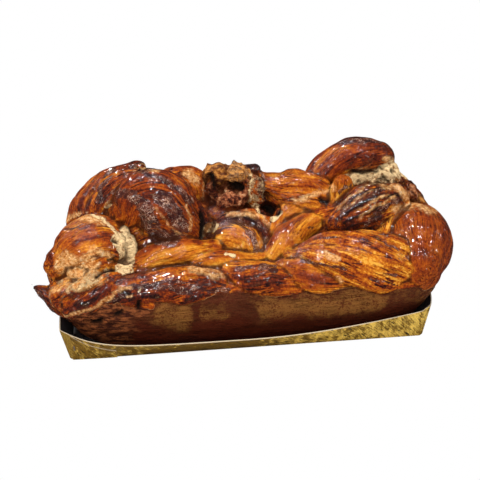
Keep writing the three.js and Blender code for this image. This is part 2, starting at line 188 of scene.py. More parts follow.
STRANDS = [
    # The front row, left to right.
    strand("front_left", [[-107, -44, 43, 8], [-89, -44, 46, 13], [-64, -43, 47, 16], [-44, -43, 49, 17],
        [-24, -43, 50, 13.5], [-5, -45, 44, 7]], relief=1.5, tone=0.62, streak=0.6, groove=1.2, grainy=0.75),
    strand("front_leaf", [[-126, -45, 38, 6], [-113, -47, 44, 9], [-101, -43, 50, 9], [-91, -37, 54, 5]],
        relief=0.5, tone=0.6, streak=0.2, grainy=0.6),
    strand("front_middle", [[-10, -36, 57, 8], [4, -42, 53, 13], [19, -44, 50, 14], [38, -47, 45, 9]],
        lean=0.2, gloss=0.7, tone=0.45, streak=0.25, grainy=0.6),
    strand("front_lobe", [[27, -40, 60, 5], [39, -45, 56, 10.5], [56, -48, 50, 10.5], [78, -49, 46, 7]],
        relief=0.6, tone=0.3, streak=0.15, grainy=0.35),
    strand("front_right", [[36, -31, 61, 7], [54, -34, 61, 17], [78, -36, 58, 22.5], [100, -35, 54, 23],
        [119, -31, 50, 18]], relief=1.3, lean=-0.24, tone=0.25, streak=0.45, groove=1.0, lumps=0.9),
    strand("right_knob", [[130, 18, 62, 13], [135, 5, 61, 20.5], [133, -14, 57, 25], [126, -33, 51, 21]],
        relief=0.5, tone=0.42, streak=0.2, groove=0.0, lumps=0.7, grainy=0.25),
    # The left end and the hill behind it.
    strand("left_mound", [[-130, -14, 59, 14.5], [-117, -11, 65, 24], [-100, -7, 66, 24.5],
        [-86, -6, 60, 14]], relief=1.6, lean=0, gloss=0.7, tone=0.27, groove=0.6, lumps=1.8, grainy=0.5),
    strand("back_left", [[-117, 26, 70, 11], [-110, 30, 87, 11], [-96, 34, 99.5, 10.5], [-74, 35, 105, 9.5]],
        relief=1.4, lean=0.2, tone=0.42, streak=0.35, groove=0.8, grainy=0.6),
    strand("back_left_inner", [[-108, 14, 74, 8], [-101, 16, 90, 9], [-88, 18, 103, 9.5], [-68, 20, 108, 8.5],
        [-52, 20, 104, 6]], relief=1.2, lean=0.2, tone=0.5, streak=0.5, groove=0.8),
    strand("left_hill", [[-78, 8, 86, 17], [-68, 6, 96, 23], [-55, 3, 92, 25], [-43, -3, 80, 18],
        [-33, -8, 69, 10]], relief=1.5, lean=0.2, tone=0.5, streak=0.4, groove=0.9, lumps=1.5, grainy=0.45),
    strand("hill_edge", [[-70, 16, 117, 4], [-52, 12, 111, 5.5], [-36, 5, 97, 6], [-26, -1, 80, 5],
        [-24, -6, 66, 4]], tone=0.82, streak=0.4),
    strand("back_lobe", [[-48, 38, 98, 10], [-34, 37, 94, 14], [-27, 33, 82, 12], [-24, 28, 70, 7]],
        relief=0.9, tone=0.36, streak=0.2, grainy=0.5),
    strand("left_cheek", [[-128, -30, 42, 13], [-112, -34, 48, 15], [-96, -32, 53, 14], [-82, -30, 55, 9]],
        relief=1.5, gloss=0.6, tone=0.33, groove=0.8, lumps=2.0, crumb=0.45),
    strand("left_skirt", [[-122, 18, 44, 11], [-130, 4, 46, 13], [-131, -12, 46, 13.5], [-124, -27, 43, 12]],
        relief=1.5, tone=0.36, groove=0.8, lumps=2.0, crumb=0.4),
    # The low middle, where the strands cross.
    strand("gold_left", [[-80, -22, 58, 8], [-62, -21, 62, 10.5], [-41, -19, 64, 11], [-21, -18, 64, 8]],
        relief=0.9, gloss=0.6, tone=0.13, streak=0.1, groove=0.6, grainy=0.25),
    strand("gold_middle", [[-34, -29, 59, 6], [-17, -29, 61, 7.5], [0, -29, 59, 7], [15, -27, 60, 5]],
        relief=0.6, gloss=0.6, tone=0.22, streak=0.15, grainy=0.3),
    strand("arch", [[-20, -1, 62, 9], [-7, -6, 67, 14], [5, -13, 63, 13], [10, -21, 57, 8]], tone=0.2,
        grainy=0.4),
    strand("arch_edge", [[-20, 1, 68, 4], [-10, 1, 79, 4.5], [4, -2, 81, 4.5], [15, -8, 72, 4],
        [17, -14, 61, 4]], tone=0.88),
    strand("arch_outer", [[-2, 6, 76, 6], [13, 4, 77, 7.5], [22, -4, 68, 6.5], [24, -10, 58, 6]], relief=1.0,
        streak=0.7, crumb=0.25),
    strand("gold_right", [[60, 4, 73, 8], [46, -5, 72, 10.5], [33, -16, 66, 11.5], [22, -25, 60, 8]],
        relief=0.7, gloss=0.6, tone=0.14, streak=0.12, grainy=0.25),
    strand("gold_back", [[62, 12, 78, 7], [46, 8, 79, 9], [34, 4, 76, 8], [26, -5, 68, 7]], gloss=0.7,
        tone=0.22, streak=0.15, grainy=0.3),
    # The back row, left to right.
    strand("back_middle", [[20, 29, 97, 8], [31, 27, 91, 13.5], [44, 24, 87, 17.5], [58, 20, 82, 17],
        [70, 16, 76, 12]], relief=1.8, lean=0.15, tone=0.27, streak=0.35, groove=0.8, grainy=0.45),
    strand("back_tongue", [[54, 35, 84, 8], [67, 37, 96, 12], [83, 38, 106.5, 14], [100, 38, 110.5, 14],
        [112, 37, 109.5, 10.5]], relief=1.0, tone=0.5, streak=0.25, groove=0.7, grainy=0.4),
    strand("small_knob", [[79, 14, 97, 7.5], [76, 12, 89, 7], [70, 8, 80, 6]], relief=0.5, tone=0.12,
        streak=0.15, grainy=0.2),
    strand("right_crook", [[106, -16, 66, 6], [114, -4, 73, 7], [124, 6, 78, 7]], relief=0.7, tone=0.26),
    strand("crumb_wedge", [[86, 30, 92, 12], [104, 33, 95, 11], [115, 33, 97, 11.5], [124, 31, 88, 9]],
        tone=0.3, crumb=1.0, gloss=0.2),
    strand("ridged", [[76, -2, 72, 11], [92, 3, 78, 17], [107, 8, 81, 16.5], [120, 12, 84, 10]], relief=1.0,
        tone=0.5, groove=0.6),
    strand("right_rag", [[110, 28, 78, 13], [123, 27, 75, 13], [135, 22, 71, 11], [142, 14, 67, 7]],
        relief=1.5, tone=0.46, streak=0.4, groove=0.8, crumb=0.6),
    # The far side, which overhangs the tin-baked side as the front does.
    strand("far_left", [[-124, 28, 52, 14], [-104, 38, 56, 18], [-78, 41, 60, 19], [-50, 42, 56, 15],
        [-34, 44, 50, 8]], relief=1.3, lean=0.15, streak=0.6, groove=0.9),
    strand("far_middle", [[-56, 38, 76, 12], [-34, 42, 67, 17], [-8, 43, 58, 17], [16, 44, 52, 12],
        [28, 46, 48, 7]], relief=1.3, lean=-0.15, tone=0.55, streak=0.55, groove=0.9),
    strand("far_right", [[4, 36, 76, 13], [26, 41, 68, 18], [52, 42, 61, 19], [78, 42, 55, 16],
        [96, 44, 49, 9]], relief=1.3, lean=0.15, tone=0.3, streak=0.6, groove=0.9),
    strand("far_crown", [[58, 42, 72, 10], [78, 44, 84, 14], [100, 44, 86, 15], [118, 38, 76, 13],
        [128, 30, 66, 9]], relief=1.3, tone=0.45, streak=0.5, groove=0.8),
    strand("far_end", [[70, 36, 72, 14], [94, 38, 66, 19], [118, 32, 58, 18], [134, 18, 51, 12]], relief=1.2,
        lean=-0.15, tone=0.42, streak=0.5, groove=0.8),
    # Dough inside, which carries the tall strands.
    strand("spine_left", [[-104, 8, 52, 24], [-76, 14, 62, 30], [-46, 18, 60, 30], [-18, 20, 56, 26]],
        tone=0.5, gloss=0.6),
    strand("spine_right", [[-4, 20, 56, 24], [34, 18, 58, 26], [76, 18, 62, 28], [112, 16, 54, 26]], tone=0.5,
        gloss=0.6),
]

# Thin ridges on the ridged strand, of chocolate and of dough by turns.
BAND_FIRST, BAND_STEP, BAND_TWIST, BAND_COUNT = 46.0, 12.5, 20, 15  # degrees round the strand
BAND_RADII = 2.2, 1.6  # mm, of the dark and of the pale ridges
BAND_TONES = 0.78, 0.36
BAND_CRUMBS = 0.0, 0.4
BAND_SINK = 0.2  # of its radius, by which a ridge lies in the strand

# The crust that ran over the tin at the left end: [x, y, z, half width], flat and pointed.
FLAP_PATH = np.array([
    [-112, -34, 31, 15], [-126, -27, 32, 16], [-138, -18, 34.5, 12.5], [-149, -12, 38, 6.5],
    [-157, -8, 41, 0.8],
])
FLAP_THICKNESS = 0.38  # of its width


def lump(name, at, size, crag, tone, gloss, crumb=0.0):
    """A craggy lump. at: its centre. size: its half sizes. crag: depth of its crags."""
    return dict(name=name, at=at, size=size, crag=crag, tone=tone, gloss=gloss, crumb=crumb)


# Torn crumb, nuts and crumble.
LUMPS = [
    lump("crag_top", (-13, 28, 104), (10, 10, 9), crag=4.4, tone=0.47, crumb=0.7, gloss=0.4),
    lump("crag_top_right", (2, 27, 106), (10, 10, 8), crag=4.4, tone=0.44, crumb=0.7, gloss=0.4),
    lump("crag_left", (-17, 23, 95), (5, 9, 14), crag=3.4, tone=0.62, crumb=0.6, gloss=0.8),
    lump("crag_right", (7, 23, 96), (6, 9, 10), crag=3.4, tone=0.62, crumb=0.6, gloss=0.6),
    lump("crag_back", (-6, 30, 92), (15, 9, 14), crag=2.4, tone=0.62, crumb=0.6, gloss=0.6),
    lump("crag_middle", (-6, 18, 89), (13, 12, 8), crag=4.2, tone=0.58, crumb=0.8, gloss=1.0),
    lump("crag_low", (-9, 12, 79), (15, 13, 8), crag=1.8, tone=0.58, crumb=0.2, gloss=1.0),
    lump("torn_curtain", (15, 20, 90), (7, 9, 17), crag=3.0, tone=0.34, crumb=0.45, gloss=0.2),
    lump("nut_middle", (12, 30, 107), (8, 5, 4), crag=2.0, tone=0.9, gloss=0.8),
    lump("nut_right", (125, 27, 91), (5, 5, 4), crag=1.6, tone=0.62, crumb=0.5, gloss=0.6),
    lump("nut_far_right", (133, 25, 85), (6, 6, 5), crag=1.8, tone=0.62, crumb=0.5, gloss=0.6),
    lump("nut_low_right", (130, 19, 83), (8, 6, 5), crag=1.8, tone=0.56, crumb=0.7, gloss=0.5),
    lump("torn_left", (-84, -8, 66), (8, 14, 18), crag=2.4, tone=0.2, crumb=1.0, gloss=0.1),
    lump("cheek_fill", (-111, -30, 60), (17, 7, 7), crag=1.6, tone=0.3, crumb=0.3, gloss=0.4),
]

# Deep gaps between the strands.
GAPS = [
    lump("gap_left", (-24, 3, 72), (2.5, 10, 12), crag=0.6, tone=0.8, gloss=0.3),
    lump("gap_right", (23, 12, 80), (6, 9, 6.5), crag=0.8, tone=0.8, gloss=0.3),
]

# The tin-baked body: height, half length and half width of each level.
CARD = 0.8
CLEARANCE = 0.4
BODY_LEVELS = np.array([
    [CARD + CLEARANCE, 106, 42], [4, 117, 46.5], [11, 126, 50], [21, 133.5, 53.5],
    [33, 141, 56.5], [44, 142, 58], [52, 134, 54.5], [60, 106, 38],
])
BODY_CORNER = 5.6  # exponent of its rounded rectangle
BODY_ROUNDING = 3  # mm, by which the lowest level is smaller still
BODY_BACK_RISE = 8.0
BODY_RISE_FROM, BODY_RISE_TO = 45, 52  # heights over which the back comes to stand higher
BODY_SHIFT = 2.5  # the body stands a little right of the tray's middle
TIN_LINE = 53.0, 47.0  # heights between which the tin-baked look ends
RAGGED_X, RAGGED_Z = (-62, -108), (3, 9)  # where its left end grows ragged
BODY_HALF, BODY_AROUND, BODY_HEIGHT = (132, 56), 760, 60  # mm, by which its mesh is spaced

# ---- Mesh helpers ---------------------------------------------------------------------------------

AROUND_CELL = 1.5  # mm, round a strand
ALONG_CELL = 2.0  # mm, along a strand
BODY_CELL = 1.6  # mm, on the tin-baked body
CRAG_CELLS = 5  # times a lump's faces are split
VOXEL = 1.36  # mm, of the fused loaf's even mesh
LAYERS = "grain", "dough", "kind"


def read(items, name, width, number=float):
    """One property of every item, as rows of numbers."""
    values = np.empty(len(items) * width, dtype=number)
    items.foreach_get(name, values)
    return values.reshape(-1, width)


def get_points(mesh):
    return read(mesh.vertices, "co", 3) / MM


def set_points(mesh, points):
    mesh.vertices.foreach_set("co", (points * MM).astype(np.float32).ravel())
    mesh.update()


def normals_of(mesh):
    return read(mesh.vertex_normals, "vector", 3)


def point_colours(mesh, key):
    return read(mesh.attributes[key].data, "color", 4)


def write_colours(mesh, key, values):
    if key not in mesh.attributes:
        mesh.attributes.new(key, "FLOAT_COLOR", "POINT")
    mesh.attributes[key].data.foreach_set("color", values.astype(np.float32).ravel())


def mesh_object(name, points, faces, layers):
    """A mesh in metres from points in mm and arrays of faces, with colour layers given point by point."""
    mesh = bpy.data.meshes.new(name)
    mesh.vertices.add(len(points))
    set_points(mesh, points)
    loops = np.concatenate([block.ravel() for block in faces]).astype(np.int32)
    sizes = np.concatenate([np.full(len(block), block.shape[1]) for block in faces])
    mesh.loops.add(len(loops))
    mesh.loops.foreach_set("vertex_index", loops)
    mesh.polygons.add(len(sizes))
    mesh.polygons.foreach_set("loop_start", (np.cumsum(sizes) - sizes).astype(np.int32))
    mesh.update(calc_edges=True)
    for key, values in layers.items():
        layer = mesh.attributes.new(key, "FLOAT_COLOR", "CORNER")
        layer.data.foreach_set("color", values[loops].astype(np.float32).ravel())
    return link_object(name, mesh)


def loft_faces(rings, count):
    """Quads between rings of points, and a fan at each end round the first and last point."""
    ring, k = np.meshgrid(np.arange(rings - 1), np.arange(count), indexing="ij")
    here, there = 1 + ring * count, 1 + (ring + 1) * count
    following = (k + 1) % count
    quads = np.stack([here + k, here + following, there + following, there + k], axis=-1)
    k, following, tip = k[0], following[0], np.zeros(count, int)
    rim, last = 1 + (rings - 1) * count, 1 + rings * count
    start = np.stack([tip, 1 + following, 1 + k], axis=1)
    end = np.stack([rim + k, rim + following, tip + last], axis=1)
    return [quads.reshape(-1, 4), np.concatenate([start, end])]


def curve_points(knots, t):
    """A centripetal Catmull-Rom curve through knots, at t from 0 to 1."""
    padded = np.vstack([2 * knots[0] - knots[1], knots, 2 * knots[-1] - knots[-2]])
    spans = len(knots) - 1
    where = np.clip(np.asarray(t) * spans, 0, spans - 1e-9)
    i = where.astype(int)
    f = (where - i)[:, None]
    p0, p1, p2, p3 = (padded[i + shift] for shift in range(4))
    d0, d1, d2 = (
        np.maximum(np.linalg.norm((b - a)[:, :3], axis=1, keepdims=True), 1e-4) ** 0.5
        for a, b in ((p0, p1), (p1, p2), (p2, p3))
    )
    m1 = ((p1 - p0) / d0 - (p2 - p0) / (d0 + d1) + (p2 - p1) / d1) * d1
    m2 = ((p2 - p1) / d1 - (p3 - p1) / (d1 + d2) + (p3 - p2) / d2) * d1
    return (
        (2 * f**3 - 3 * f**2 + 1) * p1 + (f**3 - 2 * f**2 + f) * m1
        + (-2 * f**3 + 3 * f**2) * p2 + (f**3 - f**2) * m2
    )


CAP_ARC = 1.57  # of its radius, from the rim of a strand's rounded end to its tip
TIP_REACH = 0.04  # of its radius, from the last ring to the tip
NUDGE = 0.002  # of a strand's length, to either side of a place, for its direction


def stations(path):
    """Place, direction, radius, distance along and share of the radius of a strand's rings; its length."""
    dense = curve_points(path, np.linspace(0, 1, 200))
    length = np.sum(np.linalg.norm(np.diff(dense[:, :3], axis=0), axis=1))
    t = np.linspace(0, 1, max(6, int(length / ALONG_CELL)))
    centre = curve_points(path, t)
    forward = curve_points(path, t + NUDGE)[:, :3] - curve_points(path, t - NUDGE)[:, :3]
    forward[0] = curve_points(path, [2 * NUDGE])[0, :3] - centre[0, :3]
    forward[-1] = centre[-1, :3] - curve_points(path, [1 - 2 * NUDGE])[0, :3]
    forward = unit(forward)
    centre, radius = centre[:, :3], centre[:, 3]
    caps = []
    for end, way, start in ((0, -1, 0), (-1, 1, length)):
        rings = max(4, int(radius[end] * CAP_ARC / ALONG_CELL))
        cap = []
        for turn in ((np.arange(rings) + 0.5) / rings * math.pi / 2)[::-way]:
            out = way * math.cos(turn) * radius[end]
            place = centre[end] + out * forward[end]
            cap.append((place, forward[end], radius[end], start + out, math.sin(turn)))
        caps.append(cap)
    middle = list(zip(centre, forward, radius, t * length, np.ones(len(t))))
    columns = zip(*(caps[0] + middle + caps[1]))
    return *(np.array(column) for column in columns), length


def cross_axes(ahead):
    """Level and upward directions across a strand."""
    side = unit(np.cross([0.0, 0.0, 1.0], ahead))
    return side, np.cross(ahead, side)


def tube(path, flat=1.0, lean=0.0):
    """The bare surface of a strand, with its outward directions and its own coordinates."""
    place, ahead, wide, along, share, length = stations(path)
    side, over = cross_axes(ahead)
    count = max(10, int(2 * math.pi * path[:, 3].max() / AROUND_CELL))
    angle = np.arange(count) / count * 2 * math.pi
    c, s = np.cos(angle)[None, :, None], np.sin(angle)[None, :, None]
    around = side[:, None] * c + flat * over[:, None] * s
    points = place[:, None] + (wide * share)[:, None, None] * around
    nose = np.sqrt(np.clip(1 - share**2, 0, 1))[:, None, None]
    forwards = np.sign(along - length / 2)[:, None, None]
    outward = unit(around * share[:, None, None] + ahead[:, None] * forwards * nose)
    turned = angle[None] + 2 * math.pi * lean * (along / length)[:, None]
    across = path[:, 3].mean() * share[:, None]
    grain = [np.broadcast_to(along[:, None], turned.shape), across * np.cos(turned), across * np.sin(turned)]

    def padded(first, rows, last):
        return np.vstack([[first], rows.reshape(-1, 3), [last]])

    tips = [place[end] + way * ahead[end] * wide[end] * TIP_REACH for end, way in ((0, -1), (-1, 1))]
    return dict(
        points=padded(tips[0], points, tips[1]),
        outward=padded(-ahead[0], outward, ahead[-1]),
        grain=padded([along[0], 0, 0], np.stack(grain, axis=-1), [along[-1], 0, 0]),
        share=np.concatenate([[0], np.repeat(share, count), [0]]),
        faces=loft_faces(len(place), count),
    )


# ---- Surfaces of the loaf -------------------------------------------------------------------------

# Cells of the strands' noise in mm: along the grain, and across it twice.
RIDGE_CELL, FINE_RIDGE_CELL = (32, 6.5, 6.5), (20, 3.2, 3.2)
SLIT_CELL, LEDGE_CELL, STREAK_CELL = (26, 4.2, 4.2), (45, 11, 11), (34, 2.6, 2.6)
RIDGE_DEPTH, LUMP_DEPTH, SLIT_DEPTH = 1.7, 1.5, 1.3  # of a strand's relief, lumps and groove
CRUMB_DEPTH, PORE_DEPTH = 0.9, 2.2  # mm, of torn dough
STRAND_SHIFT = 137.0  # mm, between the noise of one strand and of the next


def colours(count, *channels):
    """Four numbers for each of count points."""
    return np.stack([np.broadcast_to(np.asarray(c, dtype=float), (count,)) for c in channels], axis=1)


def loaf_layers(grain, dough, kind):
    """Place along the grain; tone, chocolate, gloss and crumb; tin, height, raggedness and graininess."""
    count = len(grain)
    return dict(grain=colours(count, *grain.T, 1.0), dough=colours(count, *dough), kind=colours(count, *kind))


LARGE_HOLES, SMALL_HOLES = 4.6, 2.3  # mm between the holes in torn crumb


def pitted(points, seed):
    """How deep the torn crumb's holes are at each point, 0 to 1."""
    large = smooth(0.62, 0.12, cells(points, LARGE_HOLES, seed))
    small = smooth(0.6, 0.15, cells(points, SMALL_HOLES, seed + 11))
    return np.maximum(large, 0.6 * small)


def strand_object(spec, seed):
    """A strand with its ridges, ledges, slits and lumps, torn where it is crumb."""
    surface = tube(spec["path"], lean=spec["lean"])
    points, grain = surface["points"], surface["grain"]
    shifted = grain + STRAND_SHIFT * seed
    ridges = noise(shifted, RIDGE_CELL, seed) - 0.5 + 0.6 * (noise(shifted, FINE_RIDGE_CELL, seed + 1) - 0.5)
    slit = smooth(0.66, 0.82, noise(shifted + 31.0, SLIT_CELL, seed + 2))
    sheets = 4.0 * noise(shifted + 11.0, LEDGE_CELL, seed + 5)
    ledges = np.floor(sheets) + smooth(0.3, 0.7, sheets - np.floor(sheets)) - 2.0
    height = spec["relief"] * (RIDGE_DEPTH * ridges + ledges) * surface["share"] ** 0.5
    height += spec["lumps"] * LUMP_DEPTH * rough(points, 15.0, 5)
    height -= spec["groove"] * SLIT_DEPTH * slit
    torn = spec["crumb"] * smooth(0.35, 0.6, noise(points, 9.0, seed + 3) + 0.25 * spec["crumb"])
    height += torn * (CRUMB_DEPTH * rough(points, 4.0, 8) - PORE_DEPTH * pitted(points, 21))
    points = points + surface["outward"] * height[:, None]
    streaks = noise(shifted + 57.0, STREAK_CELL, seed + 4) + 0.25 * (spec["streak"] - 0.5)
    dark = np.clip(spec["streak"] * (0.75 * smooth(0.55, 0.8, streaks) + 0.9 * slit), 0, 1)
    dough, kind = (spec["tone"], dark, spec["gloss"], torn), (0.0, 0.5 + ridges, 0.0, spec["grainy"])
    return mesh_object(spec["name"], points, surface["faces"], loaf_layers(grain, dough, kind))


def band_objects():
    """The thin ridges that run along the ridged strand."""
    host = next(s for s in STRANDS if s["name"] == "ridged")["path"]
    t = np.linspace(0, 1, 6)
    centre = curve_points(host, t)
    before, after = (curve_points(host, np.clip(t + shift, 0, 1))[:, :3] for shift in (-0.01, 0.01))
    side, over = cross_axes(unit(after - before))
    made = []
    for index in range(BAND_COUNT):
        pale = index % 2
        angle = np.radians(BAND_FIRST + BAND_STEP * index + BAND_TWIST * t)[:, None]
        reach = (centre[:, 3] - BAND_SINK * BAND_RADII[pale])[:, None]
        place = centre[:, :3] + (side * np.cos(angle) + over * np.sin(angle)) * reach
        radius = BAND_RADII[pale] * (0.7 + 0.3 * np.sin(math.pi * t))
        spec = strand(
            f"band_{index}", np.column_stack([place, radius]), relief=0.5, tone=BAND_TONES[pale], groove=0.3,
            lumps=0.8, crumb=BAND_CRUMBS[pale],
        )
        made.append(strand_object(spec, 80 + index))
    return made


def flap_object():
    """The thin, pointed crust that ran over the tin."""
    surface = tube(FLAP_PATH, flat=FLAP_THICKNESS)
    points = surface["points"] + surface["outward"] * (0.8 * rough(surface["points"], 7.0, 3))[:, None]
    layers = loaf_layers(surface["grain"], (0.6, 0.25, 0.6, 0.1), (0.0, 0.5, 0.0, 0.8))
    return mesh_object("flap", points, surface["faces"], layers)


def rounded_reach(angle):
    """How far the body's rounded rectangle reaches at each angle."""
    c, s = np.abs(np.cos(angle)), np.abs(np.sin(angle))
    return (c**BODY_CORNER + s**BODY_CORNER) ** (-1 / BODY_CORNER)


def outline_angles(count):
    """Angles evenly spaced along the body's outline."""
    dense = np.linspace(0, 2 * math.pi, 4000)
    reach = rounded_reach(dense)
    outline = BODY_HALF * np.stack([reach * np.cos(dense), reach * np.sin(dense)], axis=1)
    run = np.concatenate([[0], np.cumsum(np.linalg.norm(np.diff(outline, axis=0), axis=1))])
    return np.interp(np.arange(count) / count * run[-1], run, dense)


def body_object():
    """The straight, tin-baked sides and bottom."""
    levels = BODY_LEVELS[:, 0]
    low, high = levels[0], levels[-1]
    heights = np.concatenate([[low], np.linspace(low, high, int(BODY_HEIGHT / BODY_CELL))])
    length, width = (np.interp(heights, levels, BODY_LEVELS[:, k])[:, None] for k in (1, 2))
    length[0] -= BODY_ROUNDING
    width[0] -= BODY_ROUNDING
    angle = outline_angles(int(BODY_AROUND / BODY_CELL))
    reach = rounded_reach(angle)
    c, s = np.cos(angle), np.sin(angle)
    x, y = length * (reach * c)[None], width * (reach * s)[None]
    rise = np.where(heights > BODY_RISE_FROM, BODY_BACK_RISE, 0.0)[:, None] * (y / width + 1) * 0.5
    z = heights[:, None] + rise * smooth(BODY_RISE_FROM, BODY_RISE_TO, heights)[:, None]
    points = np.stack([x + BODY_SHIFT, y, z], axis=-1).reshape(-1, 3)
    outward = np.stack([c * np.abs(c) ** 2, s * np.abs(s) ** 2, 0 * c], axis=1)
    outward = np.tile(unit(outward), (len(heights), 1))
    torn = smooth(*RAGGED_X, points[:, 0]) * smooth(*RAGGED_Z, points[:, 2])
    height = 1.1 * rough(points, 30.0, 15) + 0.25 * rough(points, 4.0, 16, 2)
    height += torn * (1.6 * rough(points, (26.0, 26.0, 4.5), 17) - 0.9 * pitted(points, 23) - 0.6)
    height -= 0.8 * smooth(6.0, 1.0, points[:, 2])
    points = points + outward * height[:, None]
    points = np.vstack([[[0, 0, low]], points, [[0, 0, high + BODY_BACK_RISE]]])
    torn = np.concatenate([[0], torn, [0]])
    tin = smooth(*TIN_LINE, points[:, 2])
    tone = 0.38 + 0.16 * smooth(-10, 60, points[:, 0])
    layers = loaf_layers(points, (tone, 0.0, 0.6 * (1 - tin), 0.0), (tin, 0.5, torn, 0.6))
    return mesh_object("body", points, loft_faces(len(heights), len(angle)), layers)


def lump_object(spec):
    """A torn, craggy lump."""
    ball = bmesh.new()
    bmesh.ops.create_icosphere(ball, subdivisions=CRAG_CELLS, radius=1.0)
    outward = np.array([v.co[:] for v in ball.verts])
    faces = np.array([[v.index for v in f.verts] for f in ball.faces])
    ball.free()
    points = outward * spec["size"] + spec["at"]
    crag = spec["crag"]
    height = crag * (1.3 * rough(points, 9.0, 41) + 0.8 * rough(points, 4.0, 42, 2))
    height -= spec["crumb"] * 1.6 * pitted(points, 25)
    points = points + outward * height[:, None]
    dough = spec["tone"], 0.0, spec["gloss"], spec["crumb"]
    layers = loaf_layers(points, dough, (0.0, 0.5 + 0.3 * height / crag, 0.0, 0.5))
    return mesh_object(spec["name"], points, [faces], layers)


def fuse(name, pieces, gaps):
    """One closed mesh from overlapping ones, less the gaps."""
    first, groups = pieces[0], []
    for operation, others in (("UNION", pieces[1:]), ("DIFFERENCE", gaps)):
        group = bpy.data.collections.new(name + "_" + operation.lower())
        groups.append(group)
        for piece in others:
            bpy.context.scene.collection.objects.unlink(piece)
            group.objects.link(piece)
        joint = first.modifiers.new(group.name, "BOOLEAN")
        joint.operation = operation
        joint.operand_type = "COLLECTION"
        joint.solver = "MANIFOLD"
        joint.collection = group
    mesh = evaluated_mesh(first)
    for piece in [*pieces, *gaps]:
        bpy.data.objects.remove(piece, do_unlink=True)
    for group in groups:
        bpy.data.collections.remove(group)
    return link_object(name, mesh)


def evaluated_mesh(piece):
    """The mesh of a piece with its modifiers applied."""
    graph = bpy.context.evaluated_depsgraph_get()
    mesh = bpy.data.meshes.new_from_object(piece.evaluated_get(graph))
    mesh.materials.clear()
    return mesh


def even_mesh(fused):
    """The fused loaf with an even mesh, as baking joins it, and its colours carried over."""
    points = get_points(fused.data)
    fused.data.calc_loop_triangles()
    triangles, corners = (read(fused.data.loop_triangles, key, 3, np.int32) for key in ("vertices", "loops"))
    layers = {key: point_colours(fused.data, key) for key in LAYERS}
    remesh = fused.modifiers.new("even", "REMESH")
    remesh.mode = "VOXEL"
    remesh.voxel_size = VOXEL * MM
    mesh = evaluated_mesh(fused)
    tree = BVHTree.FromPolygons(points.tolist(), triangles.tolist())
    spots = get_points(mesh)
    nearest = np.array([tree.find_nearest(spot)[2] for spot in spots.tolist()])
    a, b, c = (points[triangles[nearest, k]] for k in range(3))
    # Shares of the three corners at the nearest place on each triangle.
    v0, v1, v2 = b - a, c - a, spots - a
    d00, d01, d11, d20, d21 = ((p * q).sum(1) for p, q in ((v0, v0), (v0, v1), (v1, v1), (v2, v0), (v2, v1)))
    area = np.maximum(d00 * d11 - d01 * d01, 1e-12)
    second = np.clip((d11 * d20 - d01 * d21) / area, 0, 1)
    third = np.clip((d00 * d21 - d01 * d20) / area, 0, 1 - second)
    shares = np.stack([1 - second - third, second, third], axis=1)[:, :, None]
    edges, counts = neighbours(mesh)
    for key, times in zip(LAYERS, (0, 2, 4)):
        values = (layers[key][corners[nearest]] * shares).sum(axis=1)
        for _ in range(times):
            values = 0.4 * values + 0.6 * averaged(values, edges, counts)
        write_colours(mesh, key, values)
    name = fused.name
    bpy.data.objects.remove(fused, do_unlink=True)
    return link_object(name, mesh)


def neighbours(mesh):
    """Both ends of every edge, and how many edges meet at each point."""
    edges = read(mesh.edges, "vertices", 2, np.int32)
    return edges, np.bincount(edges.ravel(), minlength=len(mesh.vertices))


def averaged(points, edges, counts):
    """Each point's neighbours' mean."""
    total = np.empty_like(points)
    for axis in range(points.shape[1]):
        total[:, axis] = sum(
            np.bincount(edges[:, here], points[edges[:, 1 - here], axis], len(points)) for here in (0, 1)
        )
    return total / counts[:, None]


SOFTENED_TIMES, CREASE_FROM = 2, (0.02, 0.25)  # mm, how hollow a softened crease is
HOLLOW_SCALES = (5, 1.6), (19, 1.0)  # times that the mesh is averaged, and the weight of what that shows


def settle(mesh):
    """Softens the creases between strands, and returns how hollow or proud each place is, in mm."""
    edges, counts = neighbours(mesh)
    points, normals = get_points(mesh), normals_of(mesh)
    for _ in range(SOFTENED_TIMES):
        step = averaged(points, edges, counts) - points
        crease = smooth(*CREASE_FROM, (step * normals).sum(axis=1))
        points = points + step * (0.1 + 0.35 * crease)[:, None]
    set_points(mesh, points)
    normals = normals_of(mesh)
    calm, total = points, 0.0
    for times, weight in HOLLOW_SCALES:
        for _ in range(times):
            calm = averaged(calm, edges, counts)
        total = total + weight * ((calm - points) * normals).sum(axis=1)
    return total
